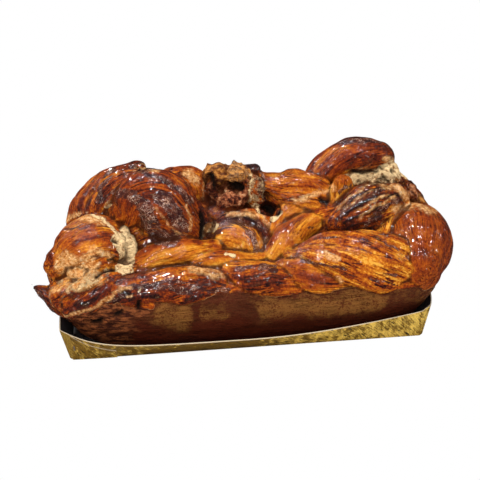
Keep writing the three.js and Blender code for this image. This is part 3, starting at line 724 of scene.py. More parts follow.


# ---- Marks ----------------------------------------------------------------------------------------
# Each mark runs through pixels of the photograph and is laid on the surface seen there:
# half its width in pixels, and the places it runs through.

# Chocolate that shows through the crust.
DARK_MARKS = dict(
    hill_ridge=(3.5, (132, 168), (148, 174), (164, 180), (180, 190), (190, 202)),
    hill_chocolate=(6, (118, 192), (130, 195), (140, 201), (148, 210)),
    hill_chocolate_low=(9, (144, 206), (150, 222), (158, 236), (172, 238)),
    hill_chocolate_right=(8, (160, 198), (170, 206), (177, 218), (182, 230)),
    arch_left_stripe=(3.5, (99, 201), (101, 188), (106, 178), (114, 170)),
    mound_line=(1.8, (54, 232), (70, 228), (88, 227)),
    flap_rim=(3.5, (31, 286), (42, 300), (52, 314), (60, 322)),
    front_line=(1.1, (114, 276), (132, 276), (148, 271), (164, 266), (184, 263), (204, 262)),
    front_purple=(4, (130, 287), (148, 286), (168, 288), (190, 293)),
    front_purple_right=(2.6, (160, 282), (186, 283), (208, 292), (230, 289)),
    middle_spot_left=(2.6, (238, 268), (250, 268)),
    middle_spot=(5, (262, 268), (274, 269)),
    right_spot=(2, (325, 238), (335, 237)),
    right_slit=(2.4, (302, 260), (318, 264), (345, 268)),
    right_slit_low=(1.6, (370, 279), (384, 282), (397, 284)),
    right_spot_end=(2, (384, 275), (394, 276)),
    right_slit_edge=(1.4, (384, 242), (396, 248), (404, 256)),
    arch_band=(4.6, (212, 235), (221, 225), (236, 221), (248, 228), (257, 240), (256, 250)),
    outer_spots=(2.4, (257, 219), (265, 231)),
    right_gold_spot=(2, (309, 228), (312, 228)),
    curtain_chocolate=(3.4, (261, 176), (262, 188), (263, 200)),
    middle_nut=(4.5, (250, 166), (263, 169)),
    tongue_rim=(3, (303, 168), (311, 154), (329, 144), (354, 140), (378, 142)),
    rubble_shade=(1.6, (352, 175), (366, 173), (380, 176), (390, 184)),
    rag_chocolate=(3, (413, 192), (424, 198)),
    ridge_left=(3, (336, 222), (342, 212), (349, 205)),
    ridge_top=(2, (339, 191), (345, 187), (351, 185)),
    ridge_middle=(2.2, (350, 206), (362, 196), (380, 189)),
    ridge_stripe=(3, (366, 226), (376, 214), (395, 202)),
    over_ball_line=(1.4, (404, 209), (428, 207)),
)
# Holes and shadowed gaps, sunk a little and painted near black as their shade.
HOLE_MARKS = dict(
    mound_hole=(1.7, (113, 240), (118, 243)),
    mound_hole_low=(1.3, (109, 261), (116, 260)),
    mound_slot=(2.0, (97, 277), (104, 271), (116, 269)),
    side_hole=(3, (92, 324), (100, 322)),
    side_hole_right=(2.5, (116, 316), (121, 313)),
    front_hole=(2.2, (124, 291), (129, 295)),
    front_hole_low=(3.0, (138, 303), (139, 308)),
    pit_left=(2.8, (202, 214), (203, 226), (203, 238)),
    pit_right=(5, (266, 210), (276, 211)),
    crag_hollow=(4, (211, 177), (215, 186)),
    crag_hollow_right=(3.2, (230, 184), (240, 188)),
    back_hole=(2.8, (323, 201), (326, 203)),
    tongue_under=(1.3, (347, 171), (364, 172), (378, 172)),
    wedge_holes=(1.3, (380, 168), (382, 169)),
    wedge_hole_low=(1.5, (383, 176), (386, 178)),
    wedge_hole_right=(1.1, (392, 170), (393, 172)),
    rubble_hole=(1.4, (357, 181), (359, 182)),
    rubble_hole_right=(1.6, (379, 179), (388, 182)),
)
# Pale torn crumb.
CREAM_MARKS = dict(
    arch_crumb=(3, (107, 207), (110, 203)),
    mound_crumb_top=(2.2, (88, 213), (100, 217), (110, 225), (117, 233)),
    mound_crumb=(7.5, (118, 240), (126, 249), (129, 259), (124, 268)),
    front_fleck=(1.1, (118, 288), (122, 291)),
    front_fleck_right=(1.1, (128, 298), (133, 296)),
    front_fleck_top=(1.0, (137, 291), (141, 289)),
    front_fleck_low=(1.1, (136, 313), (140, 314)),
    middle_crumb=(1.8, (225, 254), (234, 256)),
    pit_crumb=(5, (206, 231), (213, 225)),
    pit_crumb_right=(2.6, (273, 220), (280, 212)),
    curtain=(1.6, (250, 176), (249, 186), (252, 200)),
    curtain_foot=(2.2, (255, 206), (261, 211)),
    wedge=(6, (382, 172), (390, 167), (396, 174)),
)
# Rough, flaky, paler crust.
TAN_MARKS = dict(
    hill_cream_line=(1.2, (156, 208), (164, 220), (174, 232), (186, 236)),
    hill_right=(1.6, (186, 206), (190, 218), (190, 230)),
    arch_top_tan=(3, (136, 170), (148, 166), (156, 170)),
    mound_top=(4.5, (62, 222), (76, 216), (92, 217), (102, 223)),
    mound_rough=(13, (66, 263), (78, 271), (88, 267)),
    mound_flaky=(4, (92, 250), (104, 252), (112, 258)),
    cheek_pale=(7, (68, 284), (84, 283), (98, 279)),
    flap_crumb=(4, (54, 290), (64, 284), (70, 278)),
    side_flake=(1.6, (104, 312), (118, 307), (130, 312)),
    leaf_rim=(2.0, (62, 317), (80, 313), (94, 307), (106, 301), (113, 294)),
    front_crumb=(1.6, (104, 301), (110, 295), (118, 289), (130, 288)),
    front_ridge=(3.7, (190, 268), (204, 271), (216, 277)),
    front_tan=(2.6, (208, 268), (218, 272), (224, 277)),
    lobe_nut=(3, (338, 279), (341, 281)),
    right_brown=(3, (322, 252), (338, 260)),
    outer_tan=(3, (228, 215), (246, 213), (262, 216), (269, 226)),
    outer_crumb=(2.2, (257, 245), (266, 239)),
    crag_cap=(2.4, (218, 163), (229, 161), (239, 164)),
    lobe_pale=(5, (188, 172), (195, 182)),
    lobe_line=(1.1, (206, 170), (204, 184), (202, 198)),
    back_rough=(3.5, (296, 201), (318, 194)),
    back_crumb=(3, (314, 195), (326, 191), (333, 187)),
    wedge_brown=(5, (362, 172), (376, 176), (390, 186)),
    wedge_top=(4, (386, 160), (394, 164)),
    rubble=(3.5, (358, 178), (374, 179)),
    rubble_right=(4, (397, 188), (407, 197)),
    ridge_line_back=(1.4, (338, 208), (350, 196), (368, 185)),
    ridge_line_right=(1.6, (357, 211), (370, 203), (386, 195)),
    ridge_line_front=(1.4, (360, 219), (376, 206), (394, 198)),
    ridge_line_left=(1.2, (345, 209), (356, 200), (372, 190)),
    over_ball=(4, (396, 210), (413, 204), (434, 211)),
)
# Golden crust.
GOLD_MARKS = dict(
    hill_foot=(4, (142, 232), (147, 244)),
    arch_golden_line=(2, (94, 211), (97, 200), (100, 192), (110, 178), (118, 174)),
    mound_glow=(7, (84, 252), (98, 252), (112, 256)),
    front_bright=(6.5, (152, 274), (170, 271), (190, 271)),
    middle_top=(4, (243, 262), (257, 260), (272, 263)),
    lobe_glow=(3, (300, 268), (316, 272), (334, 276)),
    lobe_edge=(1.5, (306, 291), (330, 292), (352, 290)),
    right_yellow=(8, (372, 258), (390, 264), (402, 270)),
    left_gold=(5, (152, 265), (166, 257), (188, 254)),
    middle_gold=(4, (202, 260), (217, 264), (232, 264)),
    arch_face=(5, (219, 238), (231, 234), (243, 241), (248, 252)),
    arch_foot=(3, (240, 252), (243, 258)),
    right_gold=(6, (274, 254), (288, 238), (303, 227), (319, 219)),
    back_streaks=(2.4, (275, 182), (296, 182), (313, 176)),
    tongue_stripe=(2.2, (316, 173), (319, 160), (331, 151), (346, 147)),
    knob=(5, (333, 198), (337, 183), (347, 177)),
    ridge_pale=(4.5, (381, 228), (387, 216), (394, 207)),
)
# Amber crust.
AMBER_MARKS = dict(
    hill_lens=(8, (118, 184), (132, 180), (144, 181), (154, 186)),
    hill_orange_spot=(3, (164, 204), (170, 212)),
    hill_flank=(10, (112, 206), (120, 222), (132, 236), (140, 246)),
    arch_left_amber=(6, (78, 198), (80, 188), (88, 180), (96, 174)),
    mound_band=(6, (56, 240), (72, 236), (88, 235), (106, 239)),
    mound_right=(5, (96, 262), (100, 266)),
    flap_top=(5, (42, 284), (52, 296), (58, 306)),
    front_tip=(4, (222, 297), (238, 294)),
    middle_low=(3, (232, 296), (264, 297), (292, 293)),
    lobe_top=(3, (288, 264), (303, 265)),
    right_orange=(6, (344, 240), (366, 242), (390, 250)),
    ball_shade=(8, (414, 222), (430, 232), (436, 256), (426, 280)),
    right_gold_back=(3, (275, 230), (288, 218)),
    crag_foot=(3, (208, 214), (218, 216), (232, 213)),
    lobe_amber=(7, (176, 172), (182, 180)),
)
# Red-brown crust.
RED_MARKS = dict(
    hill_shadow=(7, (106, 196), (114, 204)),
    hill_base=(13, (140, 203), (158, 212), (172, 224)),
    arch_top=(4, (116, 168), (130, 165)),
    mound_top_edge=(3, (64, 216), (76, 209), (90, 208)),
    mound_edge=(3, (53, 228), (50, 240), (48, 252), (50, 264)),
    leaf=(8, (70, 304), (78, 299), (88, 296), (100, 292)),
    front_top=(4, (108, 281), (124, 280), (140, 279), (152, 277)),
    front_red=(5, (140, 300), (168, 299), (194, 301)),
    middle_red=(6, (236, 279), (257, 283), (280, 284)),
    lobe_red=(5, (296, 275), (312, 277), (330, 282)),
    ball_edge=(5, (446, 227), (449, 252), (444, 276)),
    left_gold_top=(3, (135, 266), (139, 256), (150, 248), (161, 244), (179, 241), (198, 242)),
    left_gold_end=(3, (212, 243), (221, 249)),
    right_gold_mark=(2, (291, 246), (293, 244)),
    right_gold_edge=(2.4, (268, 247), (278, 233), (292, 221), (308, 214)),
    crag_glaze=(5, (208, 209), (226, 211), (242, 210)),
    tongue_face=(7, (325, 170), (339, 160), (358, 157), (374, 161)),
    tongue_tip=(5, (378, 148), (390, 153)),
    nuts=(3.5, (405, 174), (415, 178)),
)
# The ragged side below the left end.
SIDE_MARKS = dict(
    side_left=(6, (66, 327), (80, 322), (98, 316), (116, 309)),
    side_front_left=(4, (116, 312), (130, 315), (146, 313)),
)
# The rim where the strands meet the tin-baked side.
PAN_MARKS = dict(
    pan_middle=(3, (160, 312), (184, 308), (206, 304), (228, 302)),
    pan_lobes=(3, (240, 302), (270, 301), (300, 297), (340, 296), (372, 296), (400, 296)),
    pan_ball=(3, (410, 296), (422, 294), (432, 290)),
)
# Glazed crust with no torn crumb and no tin-baked side.
CRUST_MARKS = dict(
    side_glaze_left=(4, (124, 303), (138, 305), (152, 304)),
    glaze_right=(3.5, (392, 286), (404, 285), (416, 284), (426, 281)),
    leaf_bare=(8, (70, 304), (78, 299), (88, 296), (100, 292)),
    crag_glaze_bare=(6, (208, 211), (226, 213), (242, 211)),
)
# Paler places on the tin-baked side.
OCHRE_MARKS = dict(
    side_ochre_left=(12, (166, 316), (182, 318)),
    side_ochre=(9, (206, 316), (222, 318), (238, 312)),
    side_ochre_right=(8, (262, 311), (300, 308), (340, 305), (376, 302)),
)
# Darker places on the tin-baked side.
MAROON_MARKS = dict(
    side_crack=(2, (196, 305), (197, 322)),
    side_maroon=(8, (236, 308), (250, 314), (246, 330)),
    side_maroon_low=(8, (276, 334), (320, 330), (370, 322), (410, 312)),
)
MARKS = dict(
    dark=DARK_MARKS, hole=HOLE_MARKS, cream=CREAM_MARKS, tan=TAN_MARKS, gold=GOLD_MARKS, amber=AMBER_MARKS,
    red=RED_MARKS, side=SIDE_MARKS, pan=PAN_MARKS, crust=CRUST_MARKS, ochre=OCHRE_MARKS, maroon=MAROON_MARKS,
)
MARK_SOFTNESS = dict(
    dark=2.2, hole=1.6, cream=2.2, tan=3.6, gold=3.6, amber=3.6, red=3.6, side=1.8, pan=1.8, crust=1.8,
    ochre=9.0, maroon=6.0,
)  # pixels
MARK_WANDER, WANDER_CELL = 3.2, 6.0  # how far its edge strays in pixels, and over how many mm


def seen_from_photo(points, normals):
    """How well each point shows in the photograph: 1 in plain view, 0 turned away or hidden."""
    x, y, depth = photo_pixels(points)
    side = int(PHOTO_SIDE)
    row, column = (np.clip(along.astype(int), 0, side - 1) for along in (y, x))
    nearest = np.full((side, side), np.inf)
    np.minimum.at(nearest, (row, column), depth)
    spread = nearest.copy()
    for shift in itertools.product((-1, 0, 1), repeat=2):
        spread = np.minimum(spread, np.roll(nearest, shift, axis=(0, 1)))
    return smooth(9.0, 4.0, depth - spread[row, column]) * smooth(-0.05, 0.2, normals @ BACK)


def mark_mask(kind, half, trail, spot):
    """How much each spot, in pixels, lies on a mark."""
    trail = np.array(trail, dtype=float)
    best = np.full(len(spot), np.inf)
    for a, b in zip(trail[:-1], trail[1:]):
        along = np.clip(((spot - a) @ (b - a)) / ((b - a) @ (b - a)), 0, 1)
        best = np.minimum(best, np.linalg.norm(spot - a - along[:, None] * (b - a), axis=1))
    soft = min(MARK_SOFTNESS[kind], 1.2 * half + 0.6)
    return smooth(half + soft, half - soft, best)


def paint(piece, hollow):
    """Lays the marks on the loaf: their relief, and the point colours paint_a and paint_b."""
    mesh = piece.data
    points, normals = get_points(mesh), normals_of(mesh)
    seen = seen_from_photo(points, normals)
    wander = [MARK_WANDER * rough(points, WANDER_CELL, seed) for seed in (51, 53)]
    spot = np.stack(photo_pixels(points)[:2], axis=1) + np.stack(wander, axis=1)
    m = SimpleNamespace()
    for kind, marks in MARKS.items():
        masks = [mark_mask(kind, half, trail, spot) for half, *trail in marks.values()]
        setattr(m, kind, np.max(masks, axis=0) * seen)
    height = m.cream * (1.0 * rough(points, 5.0, 61, 2) - 1.5 * pitted(points, 63) + 0.4)
    height += m.tan * 0.7 * rough(points, 5.0, 65)
    height += m.dark * 1.0 * rough(points, 4.5, 67)
    height -= m.hole * 2.2
    height += m.side * (0.8 * rough(points, 6.0, 69) - 1.2 * pitted(points, 71))
    set_points(mesh, points + normals * height[:, None])
    kind, dough = point_colours(mesh, "kind"), point_colours(mesh, "dough")
    kind[:, 0] = np.maximum(kind[:, 0], np.maximum(m.side, m.pan)) * (1 - m.crust)
    kind[:, 2] = np.maximum(kind[:, 2], m.side)
    dough[:, 0] += 0.4 * kind[:, 0] * (m.ochre - m.maroon)
    dough[:, 3] *= 1 - m.crust
    write_colours(mesh, "kind", kind)
    write_colours(mesh, "dough", dough)
    write_colours(mesh, "paint_a", colours(len(points), m.dark, m.hole, m.cream, m.tan))
    write_colours(mesh, "paint_b", colours(len(points), m.gold, m.amber, m.red, 0.5 + 0.1 * hollow))


# ---- Materials ------------------------------------------------------------------------------------


class Nodes:
    """Short calls for building a material's nodes."""

    def __init__(self, name):
        self.material = bpy.data.materials.new(name)
        self.material.use_nodes = True
        self.tree = self.material.node_tree
        self.tree.nodes.clear()
        self.shader = self.node("BsdfPrincipled")
        self.node("OutputMaterial", [self.shader.outputs[0]])

    def node(self, kind, inputs=(), **settings):
        """A new node with its settings, and its first inputs linked or set."""
        made = self.tree.nodes.new("ShaderNode" + kind)
        for name, value in settings.items():
            setattr(made, name, value)
        for value, socket in zip(inputs, made.inputs):
            self.link(value, socket)
        return made

    def link(self, value, socket):
        if isinstance(value, bpy.types.NodeSocket):
            self.tree.links.new(value, socket)
        else:
            socket.default_value = value

    def set(self, node=None, **inputs):
        """Links or sets inputs by name, of the shader unless a node is given."""
        for name, value in inputs.items():
            self.link(value, (node or self.shader).inputs[name.replace("_", " ")])

    def attribute(self, name):
        return self.node("Attribute", attribute_name=name)

    def channels(self, name):
        """Red, green, blue and alpha of a colour attribute."""
        found = self.attribute(name)
        split = self.node("SeparateColor", [found.outputs["Color"]])
        return [*split.outputs, found.outputs["Alpha"]]

    def place(self):
        return self.node("TexCoord").outputs["Object"]

    def axis(self, place, index):
        return self.node("SeparateXYZ", [place]).outputs[index]

    def math(self, operation, a, b=0.0, c=0.0, clamp=False):
        return self.node("Math", (a, b, c), operation=operation, use_clamp=clamp).outputs[0]

    def times(self, a, b):
        return self.math("MULTIPLY", a, b)

    def largest(self, first, *others):
        for other in others:
            first = self.math("MAXIMUM", first, other)
        return first

    def add(self, base, value, weight):
        """The base with the value added, times its weight."""
        return self.math("MULTIPLY_ADD", value, weight, base)

    def sway(self, base, *pairs):
        """The base with each value's distance from a half added, times its weight."""
        for value, weight in pairs:
            base = self.add(base, self.math("SUBTRACT", value, 0.5), weight)
        return base

    def range(self, value, low, high, to_low=0.0, to_high=1.0):
        """A soft step from low to high."""
        inputs = value, low, high, to_low, to_high
        return self.node("MapRange", inputs, interpolation_type="SMOOTHSTEP").outputs[0]

    def lines(self, value, width):
        """Thin lines, where a noise passes a half."""
        return self.range(self.math("ABSOLUTE", self.math("SUBTRACT", value, 0.5)), width, 0.0)

    def noise(self, where, scale, detail, roughness, distortion=0.0):
        made = self.node("TexNoise")
        self.set(made, Vector=where, Scale=scale, Detail=detail, Roughness=roughness, Distortion=distortion)
        return made.outputs["Fac"]

    def stretched(self, where, stretch, *settings, scale=1.0):
        """Noise with its own scale along each axis."""
        where = self.node("VectorMath", (where, stretch), operation="MULTIPLY").outputs[0]
        return self.noise(where, scale, *settings)

    def mix(self, factor, a, b):
        made = self.node("Mix", [factor], data_type="RGBA")
        self.link(a, made.inputs[6])
        self.link(b, made.inputs[7])
        return made.outputs[2]

    def ramp(self, value, stops):
        made = self.node("ValToRGB", [value])
        elements = made.color_ramp.elements
        while len(elements) < len(stops):
            elements.new(0.5)
        for element, (place, shade) in zip(elements, stops):
            element.position = place
            element.color = (*shade, 1.0)
        return made.outputs[0]

    def bump(self, height, distance, strength, normal=None):
        made = self.node("Bump")
        self.set(made, Height=height, Distance=distance, Strength=strength)
        if normal is not None:
            self.set(made, Normal=normal)
        return made.outputs[0]


def colour(red, green, blue):
    return red, green, blue, 1.0


# Colours as linear light. Crust from golden to chocolate, by its level.
CRUST_STOPS = [
    (0.0, (0.78, 0.36, 0.045)),
    (0.14, (0.62, 0.205, 0.012)),
    (0.30, (0.44, 0.105, 0.007)),
    (0.46, (0.30, 0.050, 0.005)),
    (0.62, (0.150, 0.020, 0.005)),
    (0.80, (0.060, 0.011, 0.006)),
    (1.0, (0.020, 0.006, 0.005)),
]
RUBBLE_STOPS = [
    (0.34, (0.012, 0.005, 0.004)),
    (0.42, (0.070, 0.017, 0.010)),
    (0.49, (0.25, 0.066, 0.026)),
    (0.57, (0.44, 0.16, 0.065)),
    (0.67, (0.74, 0.42, 0.22)),
]
CHOCOLATE, CHOCOLATE_THIN = colour(0.030, 0.010, 0.010), colour(0.140, 0.038, 0.019)
# WRINKLE_HIGHLIGHT is a painted highlight: thin pale glints along the chocolate's wrinkles.
WRINKLE_HIGHLIGHT = colour(0.84, 0.56, 0.40)
CREAM, CREAM_SHADE = colour(0.88, 0.62, 0.32), colour(0.30, 0.12, 0.035)
TAN, TAN_PALE, TAN_SHADE = colour(0.80, 0.42, 0.15), colour(0.92, 0.66, 0.38), colour(0.36, 0.11, 0.018)
CRUMBLE, CRUMBLE_SHADE = colour(0.60, 0.235, 0.045), colour(0.10, 0.022, 0.008)
TIN_PALE, TIN_BROWN = colour(0.22, 0.085, 0.020), colour(0.085, 0.022, 0.008)
TIN_RED, TIN_DARK = colour(0.088, 0.016, 0.006), colour(0.075, 0.012, 0.005)
TIN_RIM = colour(0.50, 0.24, 0.09)
TIN_TORN, TIN_FLAKE = colour(0.045, 0.011, 0.006), colour(0.26, 0.075, 0.024)
# CREVICE_SHADE is painted shade for the hollow creases between strands.
# HOLE_SHADE is painted shade: the near black inside holes and gaps.
HOLE_SHADE, CREVICE_SHADE = colour(0.012, 0.006, 0.004), colour(0.065, 0.014, 0.004)
# GOLD_SHADE is painted reflection: the dark of the foil's mottled reflections.
GOLD, GOLD_SHADE = colour(0.76, 0.49, 0.085), colour(0.17, 0.085, 0.008)
GOLD_DARK = colour(0.035, 0.022, 0.008)
# BLACK_SHEEN is a painted sheen: the paler blue-grey of the black card's satin.
BLACK, BLACK_SHEEN = colour(0.045, 0.040, 0.042), colour(0.13, 0.115, 0.12)
EDGE_SHADE, EDGE = colour(0.36, 0.26, 0.15), colour(0.56, 0.46, 0.32)
FLOOR_WHITE = colour(0.93, 0.93, 0.93)

GOLD_LEVEL, AMBER_LEVEL, RED_LEVEL = 0.10, 0.38, 0.54  # of the crust, on the marks of those kinds
HOLLOW_TOP = 0.505  # hollow places get no more golden than this

# Noise along the strands: cells per mm along and across, detail, roughness and distortion.
STREAK = (0.055, 0.30, 0.30), 3.0, 0.6, 0.9
THREAD = (0.10, 0.8, 0.8), 2.0, 0.6, 0.6
BROAD = (0.02, 0.2, 0.2), 2.0, 0.5
CREASE = (0.035, 0.42, 0.42), 2.0, 0.5, 0.6
RIPPLE = (0.11, 0.32, 0.32), 1.0, 0.4
# Noise in the loaf as a whole: cells per metre, detail, roughness and distortion.
MOTTLE, FINE, SPECK = (150.0, 5.0, 0.62), (560.0, 2.0, 0.6), (800.0, 3.0, 0.6)
CREASED, WRINKLES, WRINKLED = (55.0, 2.0, 0.5), (240.0, 2.0, 0.6, 1.2), (300.0, 4.0, 0.6)
PORES, CRUMBS, RUBBLE, BRAN = (330.0, 3.0, 0.6), (260.0, 4.0, 0.7), (210.0, 4.0, 0.7), (420.0, 4.0, 0.7)
PLATES, PATCHES, GRIT, RIM = (34.0, 2.0, 0.5, 0.6), (160.0, 4.0, 0.65), (700.0, 3.0, 0.7), (45.0, 3.0, 0.6)
GLAZED, DROPS, DROPLETS = (60.0, 3.0, 0.6), (75.0, 2.0, 0.5), (190.0, 2.0, 0.5)
# Where one look gives way to another: from and to.
CHOCOLATE_FROM, TAN_FROM, TORN_FROM, TIN_FROM = (0.42, 0.66), (0.2, 1.15), (0.35, 0.65), (0.3, 0.7)


def loaf_fields(n):
    """What the loaf's looks are worked out from: its layers, the marks and the noise that they share."""
    f = SimpleNamespace(where=n.place(), grain=n.attribute("grain").outputs["Vector"])
    f.tone, f.dark, f.gloss, f.torn = n.channels("dough")
    f.tin, f.height, f.ragged, f.grainy = n.channels("kind")
    f.mark_dark, f.mark_hole, f.mark_cream, f.mark_tan = n.channels("paint_a")
    f.mark_gold, f.mark_amber, f.mark_red, f.hollow = n.channels("paint_b")
    f.streak, f.thread, f.broad = (n.stretched(f.grain, *cells) for cells in (STREAK, THREAD, BROAD))
    f.mottle, f.speck, f.pores = (n.noise(f.where, *cells) for cells in (MOTTLE, SPECK, PORES))
    seams = n.lines(n.stretched(f.grain, *CREASE), 0.03)
    f.crease = n.times(seams, n.range(n.noise(f.where, *CREASED), 0.40, 0.54))
    return f


def crust_colour(n, f):
    """Crust whose level follows the strand, the marks, its fine layers and its hollows."""
    layers = n.sway(0.0, (f.streak, 1.6), (f.thread, 0.6), (f.broad, 0.8))
    layers = n.add(layers, n.range(f.thread, 0.56, 0.68), 0.22)
    layers = n.add(layers, n.range(f.thread, 0.42, 0.32), -0.12)
    layers = n.times(layers, f.grainy)
    layers = n.add(layers, f.crease, n.add(0.18, f.grainy, 0.55))
    level = f.tone
    for mark, target in ((f.mark_gold, GOLD_LEVEL), (f.mark_amber, AMBER_LEVEL), (f.mark_red, RED_LEVEL)):
        level = n.add(level, n.math("SUBTRACT", target, level), n.times(mark, 0.85))
    level = n.math("ADD", level, layers)
    level = n.sway(level, (f.mottle, n.add(0.15, f.grainy, 0.7)))
    level = n.sway(level, (n.noise(f.where, *FINE), n.add(0.25, f.grainy, 0.8)))
    level = n.sway(level, (n.math("MINIMUM", f.hollow, HOLLOW_TOP), -1.0), (f.height, 0.1))
    return n.ramp(level, CRUST_STOPS)


def chocolate_paste(n, f):
    """How much of the chocolate between the layers shows, its wrinkles with their painted highlights, and its
    colour.
    """
    amount = n.largest(f.dark, n.times(f.mark_dark, 0.80))
    warm = n.largest(f.mark_gold, n.times(f.mark_amber, 0.7))
    amount = n.add(amount, n.math("SUBTRACT", warm, f.mark_dark, clamp=True), -0.5)
    amount = n.range(n.sway(amount, (f.streak, 1.6), (f.thread, 0.9)), *CHOCOLATE_FROM)
    thin = n.range(n.math("ADD", f.mottle, f.thread), 0.9, 1.2)
    wrinkle = n.lines(n.noise(f.where, *WRINKLES), 0.03)
    # Painted highlight: pale glint lines along the wrinkles, where the mottle lets them show.
    pale = n.times(n.times(wrinkle, n.range(f.mottle, 0.42, 0.6)), 0.75)
    return amount, wrinkle, n.mix(pale, n.mix(thin, CHOCOLATE, CHOCOLATE_THIN), WRINKLE_HIGHLIGHT)


def torn_crumb(n, f):
    """Where the dough is torn, and its colour: cream crumb, browned crumble or dark rubble, by its tone."""
    pores = n.add(f.pores, n.math("SUBTRACT", f.tone, 0.4), -0.35)
    cream = n.mix(n.range(pores, 0.35, 0.53), CREAM_SHADE, CREAM)
    crumble = n.mix(n.range(n.noise(f.where, *CRUMBS), 0.4, 0.62), CRUMBLE_SHADE, CRUMBLE)
    rubble = n.ramp(n.noise(f.where, *RUBBLE), RUBBLE_STOPS)
    crumble = n.mix(n.range(f.tone, 0.48, 0.58), crumble, rubble)
    browned = n.math("SUBTRACT", n.range(f.tone, 0.25, 0.5), f.mark_cream, clamp=True)
    torn = n.sway(n.largest(f.torn, f.mark_cream), (f.mottle, 1.4), (f.speck, 0.5))
    return n.range(torn, *TORN_FROM), n.mix(browned, cream, crumble)


def tan_flakes(n, f):
    """Where the crust is rough and flaky, and its colour."""
    bran = n.noise(f.where, *BRAN)
    pale = n.mix(n.range(bran, 0.54, 0.68), TAN, TAN_PALE)
    flaky = n.sway(f.mark_tan, (f.thread, 0.8), (f.mottle, 1.6), (f.streak, 0.8))
    return n.range(flaky, *TAN_FROM), n.mix(n.range(bran, 0.36, 0.56), TAN_SHADE, pale)


def tin_side(n, f):
    """Where the loaf is tin-baked, and its colour: tan plates in brown, near black towards the bottom."""
    plates = n.noise(f.where, *PLATES)
    upright = n.sway(n.axis(f.where, 2), (plates, 0.05))
    patches = n.sway(0.5, (plates, 0.5), (f.tone, 0.9), (n.noise(f.where, *PATCHES), 0.7))
    baked = n.mix(n.range(patches, 0.40, 0.78), TIN_BROWN, TIN_PALE)
    baked = n.mix(n.range(upright, 0.031, 0.018), baked, TIN_RED)
    baked = n.mix(n.range(upright, 0.016, 0.004), baked, TIN_DARK)
    grit = n.range(n.sway(n.noise(f.where, *GRIT), (f.mottle, 0.5)), 0.50, 0.62)
    baked = n.mix(n.times(grit, 0.8), baked, TIN_DARK)
    flakes = n.stretched(f.where, (1.0, 1.0, 3.0), 4.0, 0.65, scale=110.0)
    flakes = n.mix(n.range(flakes, 0.4, 0.62), TIN_TORN, TIN_FLAKE)
    baked = n.mix(n.range(n.sway(f.ragged, (f.mottle, 0.8)), 0.25, 0.6), baked, flakes)
    return n.range(n.sway(f.tin, (f.mottle, 0.8), (f.speck, 0.3)), *TIN_FROM), baked


def loaf_material():
    n = Nodes("babka_crust")
    f = loaf_fields(n)
    chocolate, wrinkle, paste = chocolate_paste(n, f)
    tan, flakes = tan_flakes(n, f)
    torn, crumb = torn_crumb(n, f)
    tin, baked = tin_side(n, f)
    look = n.mix(n.times(chocolate, 0.9), crust_colour(n, f), paste)
    look = n.mix(n.times(tan, 0.92), look, flakes)
    look = n.mix(torn, look, crumb)
    look = n.mix(tin, look, baked)
    rim = n.times(n.range(tin, 0.1, 0.5), n.range(tin, 0.95, 0.6))
    rim = n.times(rim, n.range(n.noise(f.where, *RIM), 0.46, 0.6))
    look = n.mix(n.times(rim, 0.7), look, TIN_RIM)
    # Painted shade: dark red-brown where the creases between strands are hollow.
    look = n.mix(n.times(n.range(f.hollow, 0.55, 0.68), 0.85), look, CREVICE_SHADE)
    # Painted shade: near black in the holes and gaps.
    look = n.mix(f.mark_hole, look, HOLE_SHADE)

    # Glaze lies on the crust and misses the torn crumb and the tin-baked sides.
    bare = n.largest(torn, tin, n.times(tan, 0.4))
    glaze = n.math("MULTIPLY", f.gloss, n.math("SUBTRACT", 1.0, bare), clamp=True)
    patchy = n.range(n.noise(f.where, *GLAZED), 0.40, 0.54, 0.2, 1.0)
    glaze = n.times(glaze, n.largest(patchy, chocolate))

    # The crust's fine relief, and the glaze's own, which gathers in drops and on wrinkles.
    layered = n.add(n.add(n.noise(f.where, *WRINKLED), f.thread, 0.5), f.streak, 0.9)
    layered = n.add(n.add(layered, f.crease, -0.5), n.times(f.pores, torn), 1.0)
    normal = n.bump(layered, 0.0021, 0.9)
    normal = n.bump(f.speck, 0.0007, 0.5, normal)
    drops = n.add(n.noise(f.where, *DROPLETS), n.stretched(f.grain, *RIPPLE), 1.0)
    gathered = n.range(n.noise(f.where, *DROPS), 0.42, 0.6, 0.3, 1.1)
    drops = n.times(drops, n.largest(gathered, chocolate))
    drops = n.add(drops, n.times(wrinkle, chocolate), 0.7)
    n.set(Base_Color=look, Roughness=0.6, Specular_IOR_Level=0.04, Normal=normal)
    n.set(Coat_Weight=glaze, Coat_Roughness=0.06, Coat_IOR=1.5, Coat_Normal=n.bump(drops, 0.0024, 0.9))
    return n.material


SCRATCH_SLANT = math.radians(-34.0)  # the card's brush marks run down and to the right
# Noise on the card: cells per mm along and up the wall, detail, roughness and distortion.
BLOTCH, FLECK = ((0.16, 0.07, 1.0), 4.0, 0.62, 0.5), ((0.9, 0.42, 1.0), 3.0, 0.65)
BRUSHED, SCRATCH = ((0.85, 0.12, 1.0), 3.0, 0.6), ((0.55, 0.10, 1.0), 3.0, 0.55, 0.4)


